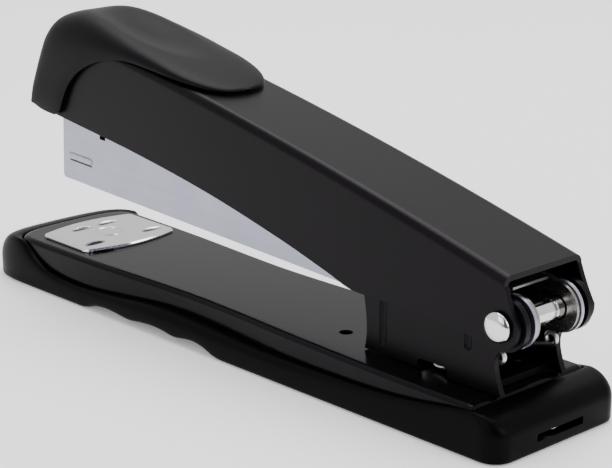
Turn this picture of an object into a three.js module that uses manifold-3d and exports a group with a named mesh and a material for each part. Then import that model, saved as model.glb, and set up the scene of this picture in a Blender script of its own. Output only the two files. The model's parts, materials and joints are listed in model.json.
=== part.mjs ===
// A full-strip desk stapler: plastic base skirt with a folded steel deck, a riveted bracket, and a
// magazine and cover arm that share one hinge pin. Millimetres, +Z up, +X towards the hinge,
// the front of the base at -X. The origin is on the table under the middle of the base.
import * as THREE from "three";
import { mergeVertices } from "three/addons/utils/BufferGeometryUtils.js";
import Module from "manifold-3d";

const wasm = await Module();
wasm.setup();

// ---------------------------------------------------------------- driving dimensions
const gap = 0.3; // between pieces that touch
const base = {
  length: 172,
  width: 38,
  floor: 3.2,
  footChamfer: 0.5,
  rearCorner: 4.4,
  rearBand: 5.0, // height of the upright band at the back
  noseBand: 4.6, // height at which the front starts to round over
  lip: 0.8, // top edge of the skirt beside the deck
};
const half = base.length / 2;
const deck = {
  sheet: 1.0,
  fold: 1.3,
  frontHeight: 11.6,
  seamHeight: 10.2,
  nose: 9.7, // from the front of the base to the front edge of the deck
  tail: 8.1, // from the back of the base to the rear edge of the deck
  flangeFoot: 3.7,
  waist: base.width / 2 - 3.9,
  shoulder: base.width / 2 - 1.8,
};
const pin = { x: half - 6.7, z: 25.6, radius: 2.3, rim: 0.9, dome: 1.6, joint: 3.2, stud: 1.0 };
const magazine = {
  width: 14.8,
  sheet: 0.8,
  reach: base.length - 25.8, // from the pin to the front face
  below: 5.5, // from the pin down to the underside
  height: 16,
  tilt: 2.44, // degrees above level, at rest
  ear: pin.radius + 3.2,
};
const bracket = {
  outside: magazine.width / 2 + 2.7,
  sheet: 1.4,
  ear: pin.radius + 3.2,
  front: pin.x - 38,
  rear: pin.x - 2.4,
  top: pin.z + 1.9,
};
const staple = {
  width: magazine.width - 2 * magazine.sheet - 0.4,
  wire: 0.5,
  height: 6.4,
  strip: 50,
};
// The stroke is in degrees.
const driver = { sheet: 0.6, width: staple.width - 0.4, stroke: 3.2, slack: 0.35 };
const arm = {
  outside: bracket.outside + 1.55,
  sheet: 1.2,
  fold: 2.0,
  rearTop: pin.x + 0.7,
  front: pin.x - magazine.reach + 1.4,
  cheek: pin.radius + 2.4, // round end of each cheek about the pin
  rearHeight: pin.z + 10.3,
  rise: 39.04 / magazine.reach,
  arch: 9.084 / magazine.reach ** 2,
};
const cap = { wall: 1.6, outside: arm.outside + 1.25, fold: 4.2, root: 44.5, tongue: 59.5 };
const rail = { outside: staple.width / 2 - 1, sheet: 0.7, ear: pin.radius + 2.9 };
const anvil = {
  width: base.width - 10.4,
  length: 17.4,
  bow: 2.5,
  sheet: 0.7,
  grooveSpread: 5.9,
};
const rod = { radius: 1.0, lift: 3.0, front: magazine.reach - 10.2, rear: 12 };
const pusher = { length: 16 };
const wire = { radius: 0.5, coil: 2.1, turns: 3.125, pitch: 1.3, x: pin.x - 18.8, z: 13.4 };
// The lift spring's rear ends.
const curl = { radius: 1.3, x: pin.x - 2.9, z: pin.z - 7.8 };

const degrees = Math.PI / 180;

// ---------------------------------------------------------------- colours
const metal = (color, roughness) =>
  new THREE.MeshStandardMaterial({ color, roughness, metalness: 1 });
const plain = (color, roughness) =>
  new THREE.MeshStandardMaterial({ color, roughness, metalness: 0 });
const finishes = {
  blackPaint: plain(0x191719, 0.35),
  blackPlastic: plain(0x151416, 0.5),
  zinc: metal(0xb2b2ba, 0.35),
  chrome: metal(0xdddddd, 0.08),
  spring: metal(0xaaa8a4, 0.25),
  blade: metal(0x85858a, 0.3),
  staples: metal(0xc8c8cc, 0.3),
};

// ---------------------------------------------------------------- geometry helpers
// A closed geometry as a solid, and back.
function solid(geometry) {
  const bare = geometry.clone();
  for (const name of ["normal", "uv"]) bare.deleteAttribute(name);
  const merged = mergeVertices(bare, 1e-4);
  return new wasm.Manifold(
    new wasm.Mesh({
      numProp: 3,
      vertProperties: merged.attributes.position.array,
      triVerts: new Uint32Array(merged.index.array),
    }),
  );
}

function geometryOf(body) {
  const mesh = body.getMesh();
  const made = new THREE.BufferGeometry();
  made.setAttribute("position", new THREE.BufferAttribute(mesh.vertProperties, 3));
  made.setIndex(new THREE.BufferAttribute(mesh.triVerts, 1));
  made.computeVertexNormals();
  return made;
}

const join = (...bodies) => bodies.reduce((a, b) => a.add(b));
const cut = (body, ...tools) => tools.reduce((a, b) => a.subtract(b), body);

// A side outline in X and Z, carried across from y0 to y1.
function across(shape, y0, y1, curveSegments = 10) {
  const made = new THREE.ExtrudeGeometry(shape, {
    depth: y1 - y0,
    bevelEnabled: false,
    curveSegments,
  });
  made.rotateX(Math.PI / 2);
  made.translate(0, y1, 0);
  return solid(made);
}

// A plan outline in X and Y, carried up from z0 to z1.
function upward(shape, z0, z1, curveSegments = 10) {
  const made = new THREE.ExtrudeGeometry(shape, {
    depth: z1 - z0,
    bevelEnabled: false,
    curveSegments,
  });
  made.translate(0, 0, z0);
  return solid(made);
}

const outline = (points) => new THREE.Shape(points.map(([x, y]) => new THREE.Vector2(x, y)));

function block(x0, x1, y0, y1, z0, z1) {
  const made = new THREE.BoxGeometry(x1 - x0, y1 - y0, z1 - z0);
  made.translate((x0 + x1) / 2, (y0 + y1) / 2, (z0 + z1) / 2);
  return solid(made);
}

// A round bar along Y at (x, z), or along Z at (x, y).
function barAcross(radius, x, z, y0, y1, sides = 24) {
  const made = new THREE.CylinderGeometry(radius, radius, y1 - y0, sides);
  made.translate(x, (y0 + y1) / 2, z);
  return solid(made);
}

function barUp(radius, x, y, z0, z1, sides = 16) {
  const made = new THREE.CylinderGeometry(radius, radius, z1 - z0, sides);
  made.rotateX(Math.PI / 2);
  made.translate(x, y, (z0 + z1) / 2);
  return solid(made);
}

// A profile of [radius, height] pairs, given either way round, turned about its own Z axis.
function turned(profile, sides = 24) {
  const points = profile.map(([r, z]) => new THREE.Vector2(r, z));
  if (THREE.ShapeUtils.area(points) < 0) points.reverse();
  const made = new THREE.LatheGeometry(points, sides);
  made.rotateX(Math.PI / 2);
  return solid(made);
}

// A closed skin over rings of equally many points. Each ring runs anticlockwise and mirrors
// itself end to end, so its lid is a ladder between its two sides.
function skin(rings) {
  const count = rings[0].length;
  const position = rings.flat().flatMap((p) => [p.x, p.y, p.z]);
  const index = [];
  for (let k = 0; k + 1 < rings.length; k++)
    for (let i = 0; i < count; i++) {
      const a = k * count + i;
      const b = k * count + ((i + 1) % count);
      index.push(a, b, b + count, a, b + count, a + count);
    }
  const lid = (first, flip) => {
    for (let i = 0; 2 * i < count - 2; i++) {
      const [a, b, c, d] = [i, i + 1, count - 2 - i, count - 1 - i].map((k) => first + k);
      index.push(...(flip ? [a, c, b] : [a, b, c]));
      if (b !== c) index.push(...(flip ? [a, d, c] : [a, c, d]));
      else index.splice(-3, 3, ...(flip ? [a, d, b] : [a, b, d]));
    }
  };
  lid(0, true);
  lid((rings.length - 1) * count, false);
  const made = new THREE.BufferGeometry();
  made.setAttribute("position", new THREE.Float32BufferAttribute(position, 3));
  made.setIndex(index);
  return solid(made);
}

// A smooth curve y(x) through stations [x, y] in rising x, level beyond its ends.
function through(stations) {
  const slope = stations.map((_, i) => {
    const [x0, y0] = stations[Math.max(i - 1, 0)];
    const [x1, y1] = stations[Math.min(i + 1, stations.length - 1)];
    return (y1 - y0) / (x1 - x0);
  });
  return (x) => {
    if (x <= stations[0][0]) return stations[0][1];
    if (x >= stations.at(-1)[0]) return stations.at(-1)[1];
    const i = stations.findIndex((s) => s[0] > x) - 1;
    const [[x0, y0], [x1, y1]] = [stations[i], stations[i + 1]];
    const [t, w] = [(x - x0) / (x1 - x0), x1 - x0];
    const ease = t * t * (3 - 2 * t);
    return (
      y0 + (y1 - y0) * ease + w * (slope[i] * t * (1 - t) ** 2 - slope[i + 1] * t * t * (1 - t))
    );
  };
}

// The outline of a bent strip: a curve through points, given a thickness to its left.
function strip(points, thickness, steps = 24) {
  const curve = new THREE.SplineCurve(points.map(([x, z]) => new THREE.Vector2(x, z)));
  const near = curve.getSpacedPoints(steps);
  const far = near.map((p, i) => {
    const t = curve.getTangentAt(i / steps);
    return new THREE.Vector2(p.x - t.y * thickness, p.y + t.x * thickness);
  });
  return new THREE.Shape([...near, ...far.reverse()]);
}

// ---------------------------------------------------------------- the assembly tree
const stapler = new THREE.Group();
function named(name, body, finish, parent = stapler) {
  const mesh = new THREE.Mesh(geometryOf(body), finish);
  mesh.name = name;
  parent.add(mesh);
  return mesh;
}

// ---------------------------------------------------------------- base: plan curves
const seamX = half - deck.tail;
const deckNoseX = -half + deck.nose;
const deckSlope = (deck.frontHeight - deck.seamHeight) / (seamX - deckNoseX);
const deckTop = (x) => deck.seamHeight + (seamX - x) * deckSlope;
const share = (t) => -half + t * base.length; // a place along the base, 0 at the front
const deckHalf = through([
  [share(0.08), deck.shoulder],
  [share(0.24), deck.shoulder - 0.5],
  [share(0.43), deck.waist],
  [share(0.53), deck.waist + 0.3],
  [share(0.66), deck.shoulder - 0.7],
  [share(0.8), deck.shoulder],
  [share(0.96), deck.shoulder - 0.1],
]);
const rimHeight = through([
  [share(0.085), deck.frontHeight - 0.3],
  [share(0.115), 7.7],
  [share(0.15), 5.5],
  [share(0.22), 4.6],
  [share(0.3), 5.4],
  [share(0.38), 6.5],
  [share(0.45), 6.5],
  [share(0.6), 5.6],
  [share(0.74), 6.0],
  [share(0.85), 7.1],
  [share(0.96), deck.seamHeight - 0.4],
]);

// A plan ring: rear edge with round corners, two long sides, and a bowed front.
const sideStations = 22;
function planRing({ front, rear, side, corner, bow, square }) {
  const right = [];
  for (let i = 0; i <= 4; i++) {
    const a = (i / 4) * (Math.PI / 2);
    const y = side(rear) - corner;
    right.push([rear - corner + corner * Math.cos(a), -(y + corner * Math.sin(a))]);
  }
  const sideEnd = front + square;
  for (let i = 1; i <= sideStations; i++) {
    const x = rear - corner + ((sideEnd - rear + corner) * i) / sideStations;
    right.push([x, -side(x)]);
  }
  const y = side(sideEnd);
  const nose = new THREE.CubicBezierCurve(
    new THREE.Vector2(sideEnd, -y),
    new THREE.Vector2(front + bow, -y),
    new THREE.Vector2(front, -y + bow + 1),
    new THREE.Vector2(front, 0),
  ).getPoints(8);
  nose.slice(1).forEach((p) => right.push([p.x, p.y]));
  const left = right.slice(0, -1).reverse();
  return [...right, ...left.map(([x, v]) => [x, -v])].reverse();
}

const at = (plan, height) => plan.map(([x, y]) => new THREE.Vector3(x, y, height(x, y)));
const outerPlan = planRing({
  front: -half,
  rear: half,
  side: () => base.width / 2,
  corner: base.rearCorner,
  bow: 2,
  square: 16,
});
const rimPlan = (out) =>
  planRing({
    front: deckNoseX - out,
    rear: seamX + out,
    side: (x) => deckHalf(x) + out,
    corner: 1.0,
    bow: 1.2,
    square: 8,
  });
const lipPlan = rimPlan(gap + base.lip);
const wellPlan = rimPlan(gap);
const insetPlan = outerPlan.map(([x, y]) => [
  x * (1 - base.footChamfer / half),
  y * (1 - (2 * base.footChamfer) / base.width),
]);

// ---------------------------------------------------------------- base: plastic skirt
// The wall stands upright from the foot, then rounds over to the lip beside the deck.
const bandHeight = (i) => {
  const [x] = outerPlan[i];
  const side = Math.min(rimHeight(lipPlan[i][0]) - 2.2, 3.4);
  const front = THREE.MathUtils.smoothstep(-x, half - 18, half - 6);
  const back = THREE.MathUtils.smoothstep(x, half - 6, half - 1);
  return side + (base.noseBand - side) * front + (base.rearBand - side) * back;
};
const lipHeight = (i) => rimHeight(lipPlan[i][0]);
function shoulderRing(turn) {
  return outerPlan.map(([x, y], i) => {
    const [u, v] = lipPlan[i];
    const inward = 1 - Math.cos(turn);
    const up = Math.sin(turn);
    const z0 = bandHeight(i);
    return new THREE.Vector3(
      x + (u - x) * inward,
      y + (v - y) * inward,
      z0 + (lipHeight(i) - z0) * up,
    );
  });
}
const wallRings = [
  at(insetPlan, () => 0),
  at(outerPlan, () => base.footChamfer),
  ...[0, 0.25, 0.5, 0.75, 1].map((t) => shoulderRing((t * Math.PI) / 2)),
  wellPlan.map(([x, y], i) => new THREE.Vector3(x, y, lipHeight(i))),
  at(wellPlan, () => base.floor),
];

// Three finger grooves run across the foot on each side.
const grooves = { depth: 1.9, reach: 7, first: 0.239, cusps: [0.336, 0.434], last: 0.521 };
function grooveOutline() {
  const [a, b, c, d] = [grooves.first, ...grooves.cusps, grooves.last].map(share);
  const cusp = grooves.depth * 0.62;
  const shape = new THREE.Shape();
  shape.moveTo(a, -1);
  shape.lineTo(a, 0);
  shape.quadraticCurveTo(a + 3, grooves.depth * 0.9, (a + b) / 2, grooves.depth * 0.9);
  shape.quadraticCurveTo(b - 3, grooves.depth * 0.85, b, cusp);
  shape.quadraticCurveTo((b + c) / 2, grooves.depth * 1.35, c, cusp * 1.05);
  shape.quadraticCurveTo(c + 3, grooves.depth * 1.05, (c + d) / 2, grooves.depth);
  shape.quadraticCurveTo(d - 2.5, grooves.depth, d, 0);
  shape.lineTo(d, -1);
  return shape;
}
const slot = { halfWidth: 7, low: 2.4, high: 4.0, inside: 10 };
const screwX = [share(0.36), share(0.9)];
let skirt = cut(
  skin(wallRings),
  across(grooveOutline(), base.width / 2 - grooves.reach, base.width / 2 + 1, 5),
  across(grooveOutline(), -base.width / 2 - 1, grooves.reach - base.width / 2, 5),
  block(half - slot.inside, half + 1, -slot.halfWidth, slot.halfWidth, slot.low, slot.high),
);
const screw = { head: 3, shank: 1.5, seat: 1.4 };
for (const x of screwX)
  skirt = cut(
    skirt,
    barUp(screw.head + gap, x, 0, -1, screw.seat + gap),
    barUp(screw.shank + gap, x, 0, 0, base.floor + 1),
  );
named("base_skirt", skirt, finishes.blackPlastic);

// ---------------------------------------------------------------- base: steel deck
const foldRing = (t) =>
  at(
    rimPlan(-deck.fold * (1 - Math.cos(t))),
    (x) => deckTop(x) - deck.fold * (1 - Math.sin(t)),
  );
const deckOutside = skin([
  at(rimPlan(0), () => deck.flangeFoot),
  ...[0, 0.33, 0.67, 1].map((t) => foldRing((t * Math.PI) / 2)),
]);
const deckInside = skin([
  at(rimPlan(-deck.sheet), () => deck.flangeFoot - 1),
  at(rimPlan(-deck.sheet), (x) => deckTop(x) - deck.sheet),
]);
const closedAngle = -5.3; // the magazine's swing down to the anvil, in degrees
const driverReach = magazine.reach - magazine.sheet - driver.slack - driver.sheet / 2;
const closedTilt = (magazine.tilt + closedAngle) * degrees;
const landingX =
  pin.x - driverReach * Math.cos(closedTilt) - magazine.below * Math.sin(closedTilt);
const anvilX = landingX + anvil.grooveSpread;
const rivet = { shank: 1.5, head: 2.4, cap: 0.8, y: 5, x: [pin.x - 32.3, pin.x - 10.3] };
const stem = { shank: 1.8, head: 3.2, foot: 4.2 };
const webTop = (x) => deckTop(x) + gap + bracket.sheet;
const locatingHole = { x: bracket.front - 9.8, y: 5.9, radius: 1.5 };
let deckPlate = cut(
  deckOutside,
  deckInside,
  block(seamX - 1.4, seamX + 4, -deck.shoulder, deck.shoulder, 0, deck.seamHeight - deck.sheet),
  barUp(stem.shank + gap, anvilX, 0, 0, 20),
  barUp(locatingHole.radius, locatingHole.x, locatingHole.y, 0, 20),
  barUp(locatingHole.radius, locatingHole.x, -locatingHole.y, 0, 20),
);
for (const x of rivet.x)
  for (const y of [-rivet.y, rivet.y]) deckPlate = cut(deckPlate, barUp(rivet.shank + gap, x, y, 0, 20));
named("deck_plate", deckPlate, finishes.blackPaint);

// Screws from below hold the skirt to the deck.
screwX.forEach((x, i) => {
  const top = deckTop(x) - deck.sheet - gap;
  const body = cut(
    turned([
      [0, 0.3],
      [screw.head, 0.3],
      [screw.head, screw.seat],
      [screw.shank, screw.seat],
      [screw.shank, top],
      [0, top],
    ]),
    block(-screw.head, screw.head, -0.4, 0.4, 0, 0.8),
  );
  const mesh = named(`base_screw_${i ? "rear" : "front"}`, body, finishes.zinc);
  mesh.position.x = x;
});

// The staple remover: a steel tongue behind the slot in the tail.
const tongue = { halfWidth: 5.5, sheet: 0.7, tip: 1.2 };
const tongueShape = new THREE.Shape();
tongueShape.moveTo(half - slot.inside + gap, -tongue.halfWidth);
tongueShape.lineTo(half - tongue.tip - 4, -tongue.halfWidth);
tongueShape.quadraticCurveTo(half - tongue.tip, -3.4, half - tongue.tip, 0);
tongueShape.quadraticCurveTo(half - tongue.tip, 3.4, half - tongue.tip - 4, tongue.halfWidth);
tongueShape.lineTo(half - slot.inside + gap, tongue.halfWidth);
named(
  "remover_tongue",
  upward(tongueShape, slot.high - gap - tongue.sheet, slot.high - gap, 6),
  finishes.chrome,
);

// ---------------------------------------------------------------- anvil
const anvilFrame = new THREE.Group();
anvilFrame.position.set(anvilX, 0, deckTop(anvilX) + 0.15);
anvilFrame.rotation.y = Math.atan(deckSlope);
stapler.add(anvilFrame);
const anvilShape = new THREE.Shape();
const anvilCorner = 1.2;
{
  const [u, v, r] = [anvil.length / 2, anvil.width / 2, anvilCorner];
  anvilShape.moveTo(-u + r, -v);
  anvilShape.lineTo(u - r, -v);
  anvilShape.quadraticCurveTo(u, -v, u + 0.3, -v + r);
  anvilShape.quadraticCurveTo(u + 2 * anvil.bow, 0, u + 0.3, v - r);
  anvilShape.quadraticCurveTo(u, v, u - r, v);
  anvilShape.lineTo(-u + r, v);
  anvilShape.quadraticCurveTo(-u, v, -u - 0.3, v - r);
  anvilShape.quadraticCurveTo(-u - 2 * anvil.bow, 0, -u - 0.3, -v + r);
  anvilShape.quadraticCurveTo(-u, -v, -u + r, -v);
}
// A clinching pocket is a long shallow bowl.
function pocket(x, y, length) {
  const bowl = new THREE.SphereGeometry(1, 12, 8);
  bowl.scale(0.9, length / 2, 0.5);
  bowl.translate(x, y, anvil.sheet + 0.12);
  return solid(bowl);
}
const closingPockets = 4.0;
const pinningPockets = anvil.width / 2 - 5;
const anvilPlate = cut(
  upward(anvilShape, 0, anvil.sheet, 8),
  barUp(stem.head + gap, 0, 0, -1, 2, 24),
  ...[-1, 1].flatMap((s) => [
    pocket(-anvil.grooveSpread, s * closingPockets, 5.4),
    pocket(anvil.grooveSpread, s * pinningPockets, 5.4),
  ]),
);
named("anvil_plate", anvilPlate, finishes.chrome, anvilFrame);
const underDeck = -0.15 - deck.sheet;
named(
  "anvil_rivet",
  turned([
    [0, anvil.sheet - 0.1],
    [stem.head, anvil.sheet - 0.1],
    [stem.head, 0.05],
    [stem.shank, 0.05],
    [stem.shank, underDeck - 2.4],
    [stem.foot - 1, underDeck - 2.4],
    [stem.foot - 1, underDeck - 3.2],
    [0, underDeck - 3.2],
  ]),
  finishes.chrome,
  anvilFrame,
);
named(
  "anvil_spring",
  turned([
    [stem.shank + gap, underDeck - 1.2],
    [stem.foot + 1.6, underDeck - 0.9],
    [stem.foot + 1.6, underDeck - gap],
    [stem.shank + gap, underDeck - 0.6],
    [stem.shank + gap, underDeck - 1.2],
  ]),
  finishes.spring,
  anvilFrame,
);

// ---------------------------------------------------------------- bracket
// A channel: two cheeks on a web that lies on the deck, with a round ear about the pin.
const cheekShape = new THREE.Shape();
cheekShape.moveTo(bracket.front, deckTop(bracket.front) + gap);
cheekShape.quadraticCurveTo(bracket.front + 1.4, 15, bracket.front - 0.5, bracket.top - 4);
cheekShape.lineTo(bracket.front + 1.5, bracket.top);
cheekShape.lineTo(pin.x - 2.2, pin.z + bracket.ear * 0.9);
cheekShape.absarc(pin.x, pin.z, bracket.ear, 1.95, -1.6, true);
cheekShape.quadraticCurveTo(bracket.rear - 0.5, pin.z - 6.4, bracket.rear + 0.3, pin.z - 10.4);
cheekShape.quadraticCurveTo(bracket.rear + 0.8, 13, bracket.rear + 2, deckTop(seamX) + gap);
const windowShape = new THREE.Shape();
const opening = { front: wire.x - 4.1, rear: wire.x + 4.2, height: 2.0, corner: 1.2 };
const openingArc = deckTop(wire.x) + gap + opening.height - opening.corner;
windowShape.moveTo(opening.front, 5);
windowShape.absarc(
  opening.front + opening.corner,
  openingArc,
  opening.corner,
  Math.PI,
  Math.PI / 2,
  true,
);
windowShape.absarc(
  opening.rear - opening.corner,
  openingArc,
  opening.corner,
  Math.PI / 2,
  0,
  true,
);
windowShape.lineTo(opening.rear, 5);
const inner = bracket.outside - bracket.sheet;
const web = outline([
  [bracket.front + 1.6, webTop(bracket.front)],
  [bracket.front + 1.6, 60],
  [bracket.rear + 12, 60],
  [bracket.rear + 12, webTop(bracket.rear)],
]);
// The web is open under each coil of the lift spring.
const coilBay = { front: wire.x - 5.1, rear: wire.x + 5.1, middle: 2.2 };
const webEnds = [
  block(coilBay.front, coilBay.rear, coilBay.middle, inner, 5, 20),
  block(coilBay.front, coilBay.rear, -inner, -coilBay.middle, 5, 20),
  block(bracket.front - 3, bracket.front + 3.5, -inner, inner, 5, 60),
  block(bracket.rear - 1.5, bracket.rear + 12, -inner, inner, 5, 60),
];
const fluteRadius = 1.3;
const flute = (x, low, high, side) => {
  const made = new THREE.CapsuleGeometry(fluteRadius, high - low, 6, 16);
  made.rotateX(Math.PI / 2);
  made.translate(x, side * (bracket.outside + fluteRadius - 0.6), (low + high) / 2);
  return solid(made);
};
const arbor = { radius: 0.7, blind: 0.6 }; // its ends sit in blind holes in the cheeks
const arborEnd = inner + arbor.blind;
const flutes = { front: bracket.front + 5.3, rear: pin.x - 9.3, frontFoot: 13.6, rearFoot: 19 };
let bracketBody = cut(
  across(cheekShape, -bracket.outside, bracket.outside, 12),
  across(web, -inner, inner),
  ...webEnds,
  barAcross(pin.radius + gap, pin.x, pin.z, -20, 20, 24),
  barAcross(arbor.radius + gap, wire.x, wire.z, -arborEnd - 0.15, arborEnd + 0.15, 12),
  across(windowShape, -20, -inner + 0.01, 4),
  across(windowShape, inner - 0.01, 20, 4),
  ...[-1, 1].flatMap((side) => [
    flute(flutes.front, flutes.frontFoot, 40, side),
    flute(flutes.rear, flutes.rearFoot, 40, side),
  ]),
);
for (const x of rivet.x)
  for (const y of [-rivet.y, rivet.y])
    bracketBody = cut(bracketBody, barUp(rivet.shank + gap, x, y, 0, 20));
named("bracket", bracketBody, finishes.blackPaint);

rivet.x.forEach((x, i) =>
  [-1, 1].forEach((side, j) => {
    const low = deckTop(x) - deck.sheet - gap - rivet.cap;
    const high = webTop(x) + gap;
    const mesh = named(
      `bracket_rivet_${2 * i + j + 1}`,
      turned([
        [0, low],
        [rivet.head, low],
        [rivet.head, low + rivet.cap],
        [rivet.shank, low + rivet.cap],
        [rivet.shank, high],
        [rivet.head, high],
        [rivet.head * 0.8, high + rivet.cap * 0.7],
        [0, high + rivet.cap],
      ]),
      finishes.blackPaint,
    );
    mesh.position.set(x, side * rivet.y, 0);
  }),
);

named(
  "spring_arbor",
  barAcross(arbor.radius, wire.x, wire.z, -arborEnd, arborEnd, 12),
  finishes.zinc,
);

// The lift spring: one wire, coiled about the arbor on each side, with a bar under the magazine.
const tilt = magazine.tilt * degrees;
const magazineUnderside = (x) =>
  pin.z + (pin.x - x) * Math.tan(tilt) - magazine.below / Math.cos(tilt);
function liftWire() {
  const side = [];
  const outerY = inner - 0.8;
  const barX = wire.x - 11;
  const steps = 12;
  const curlStart = 1.25 * Math.PI;
  for (let i = 0; i <= steps; i++) {
    const a = curlStart - (i / steps) * 1.75 * Math.PI;
    side.push([curl.x + curl.radius * Math.cos(a), outerY, curl.z + curl.radius * Math.sin(a)]);
  }
  side.push([curl.x - 3.5, outerY, curl.z - curl.radius - 0.8]);
  side.push([wire.x + 4.5, outerY, wire.z - wire.coil + 1.5]);
  const last = Math.round(wire.turns * 2 * steps);
  for (let i = 0; i <= last; i++) {
    const a = -Math.PI / 2 - (i / (2 * steps)) * 2 * Math.PI;
    side.push([
      wire.x + wire.coil * Math.cos(a),
      outerY - (wire.pitch * i) / (2 * steps),
      wire.z + wire.coil * Math.sin(a),
    ]);
  }
  const innerY = outerY - wire.pitch * wire.turns - 0.3;
  side.push([wire.x - 5, innerY, wire.z + 2.2]);
  side.push([barX + 1.6, innerY, magazineUnderside(barX) - wire.radius - gap - 0.4]);
  side.push([barX, innerY - 1, magazineUnderside(barX) - wire.radius - gap]);
  const mirrored = [...side].reverse().map(([x, y, z]) => [x, -y, z]);
  return [...side, ...mirrored].map(([x, y, z]) => new THREE.Vector3(x, y, z));
}
function wireSolid(points, radius, steps, sides = 6) {
  const ring = new THREE.Shape();
  for (let i = 0; i < sides; i++) {
    const a = (i / sides) * 2 * Math.PI;
    if (i) ring.lineTo(radius * Math.cos(a), radius * Math.sin(a));
    else ring.moveTo(radius, 0);
  }
  return solid(
    new THREE.ExtrudeGeometry(ring, {
      steps,
      extrudePath: new THREE.CatmullRomCurve3(points),
      bevelEnabled: false,
    }),
  );
}
named("lift_spring", wireSolid(liftWire(), wire.radius, 220), finishes.chrome);

// ---------------------------------------------------------------- hinge pin
// Two halves meet between the ears: the long one is bored, the short one has a stud.
const headSide = arm.outside + gap;
const pinHead = pin.radius + pin.rim;
const headProfile = (reach) => [
  [pin.radius, -headSide],
  [pinHead, -headSide],
  [pinHead, -headSide - 0.35],
  [pinHead * 0.93, -headSide - pin.dome * 0.5],
  [pinHead * 0.7, -headSide - pin.dome * 0.85],
  [pinHead * 0.35, -headSide - pin.dome * 0.98],
  [0, -headSide - pin.dome],
  [0, reach],
  [pin.radius, reach],
];
const pinBore = 8;
function alongY(body, turn = 0) {
  const made = geometryOf(body);
  made.rotateX(-Math.PI / 2);
  if (turn) made.rotateZ(turn);
  made.translate(pin.x, 0, pin.z);
  return solid(made);
}
named(
  "hinge_pin",
  cut(
    alongY(turned([...headProfile(pin.joint - gap / 2), [pin.radius, -headSide]])),
    barAcross(pin.stud + gap, pin.x, pin.z, pin.joint - pinBore, pin.joint + 1, 12),
  ),
  finishes.chrome,
);
named(
  "hinge_pin_cap",
  join(
    alongY(turned([...headProfile(-pin.joint - gap / 2), [pin.radius, -headSide]]), Math.PI),
    barAcross(pin.stud, pin.x, pin.z, pin.joint - pinBore + gap, pin.joint + 1, 12),
  ),
  finishes.chrome,
);
const washerSide = magazine.width / 2 + gap;
const washerEnd = inner - gap;
[-1, 1].forEach((side) => {
  const [a, b] = side < 0 ? [-washerEnd, -washerSide] : [washerSide, washerEnd];
  named(
    `hinge_washer_${side < 0 ? "near" : "far"}`,
    cut(
      barAcross(pin.radius + 2.1, pin.x, pin.z, a, b, 20),
      barAcross(pin.radius + gap, pin.x, pin.z, a - 1, b + 1, 20),
    ),
    finishes.blackPlastic,
  );
});

// ---------------------------------------------------------------- magazine
// Its frame has the pin at its origin and runs level to the front along -X.
const magazineFrame = new THREE.Group();
magazineFrame.position.set(pin.x, 0, pin.z);
magazineFrame.rotation.y = tilt;
stapler.add(magazineFrame);
const wide = magazine.width / 2;
const channelInside = wide - magazine.sheet;
const channelTop = magazine.height - magazine.below;
const floorTop = magazine.sheet - magazine.below;
const channelShape = new THREE.Shape();
channelShape.moveTo(-magazine.reach + 1, -magazine.below);
channelShape.lineTo(0, -magazine.below);
channelShape.absarc(0, 0, magazine.ear, -Math.PI / 2, 1.9, false);
channelShape.lineTo(-24, channelTop);
channelShape.lineTo(-magazine.reach, channelTop);
channelShape.lineTo(-magazine.reach, 1 - magazine.below);
channelShape.absarc(1 - magazine.reach, 1 - magazine.below, 1, Math.PI, 1.5 * Math.PI, false);
const slotFront = -magazine.reach + magazine.sheet;
const slotRear = slotFront + driver.sheet + 2 * driver.slack;
// A hooked notch and a lanced rib on each wall.
const notch = { x: 14.6 - magazine.reach, z: 7.2, length: 2.2, height: 2.8, neck: 1.2, lip: 1.4 };
const notchShape = outline([
  [notch.x, notch.z],
  [notch.x + notch.length, notch.z],
  [notch.x + notch.length, notch.z + notch.lip],
  [notch.x + notch.neck, notch.z + notch.lip],
  [notch.x + notch.neck, notch.z + notch.height],
  [notch.x, notch.z + notch.height],
]);
const ribLength = 9.4;
const rib = (side) => {
  const made = new THREE.CapsuleGeometry(0.9, ribLength - 1.8, 3, 8);
  made.rotateZ(Math.PI / 2);
  made.scale(1, 0.42, 1);
  made.translate(7 - magazine.reach, side * wide, 0.6);
  return solid(made);
};
const channel = join(
  cut(
    across(channelShape, -wide, wide, 10),
    block(slotFront, 30, -channelInside, channelInside, floorTop, 30),
    block(slotFront, slotRear, -driver.width / 2 - gap, driver.width / 2 + gap, -10, 0),
    block(-7, 30, -channelInside, channelInside, -10, 0),
    barAcross(pin.radius + gap, 0, 0, -20, 20, 24),
    across(notchShape, -20, 20),
  ),
  rib(-1),
  rib(1),
);
named("magazine_channel", channel, finishes.zinc, magazineFrame);

// The rail the staples straddle, with ears of its own about the pin.
const crownTop = floorTop + gap + staple.height;
const railTop = crownTop - staple.wire - gap;
const railFoot = floorTop + gap;
const railFront = slotRear + gap;
const earInside = rail.outside + 0.2;
const earOutside = channelInside - gap;
const earShape = new THREE.Shape();
earShape.moveTo(-16, railFoot);
earShape.lineTo(-3, railFoot - 0.3);
earShape.absarc(0, 0, rail.ear, -2.1, 1.9, false);
earShape.lineTo(-16, railTop + 2.5);
const railInside = rail.outside - rail.sheet;
const railBody = cut(
  join(
    cut(
      block(railFront, -13, -rail.outside, rail.outside, railFoot, railTop),
      block(railFront - 1, 0, -railInside, railInside, -10, railTop - rail.sheet),
    ),
    across(earShape, -earOutside, -earInside + 0.01, 10),
    across(earShape, earInside - 0.01, earOutside, 10),
    block(-16, -13.5, -earInside - 0.1, -rail.outside + 0.4, railFoot, railTop),
    block(-16, -13.5, rail.outside - 0.4, earInside + 0.1, railFoot, railTop),
  ),
  barAcross(pin.radius + gap, 0, 0, -20, 20, 24),
);
named("staple_rail", railBody, finishes.zinc, magazineFrame);

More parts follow.
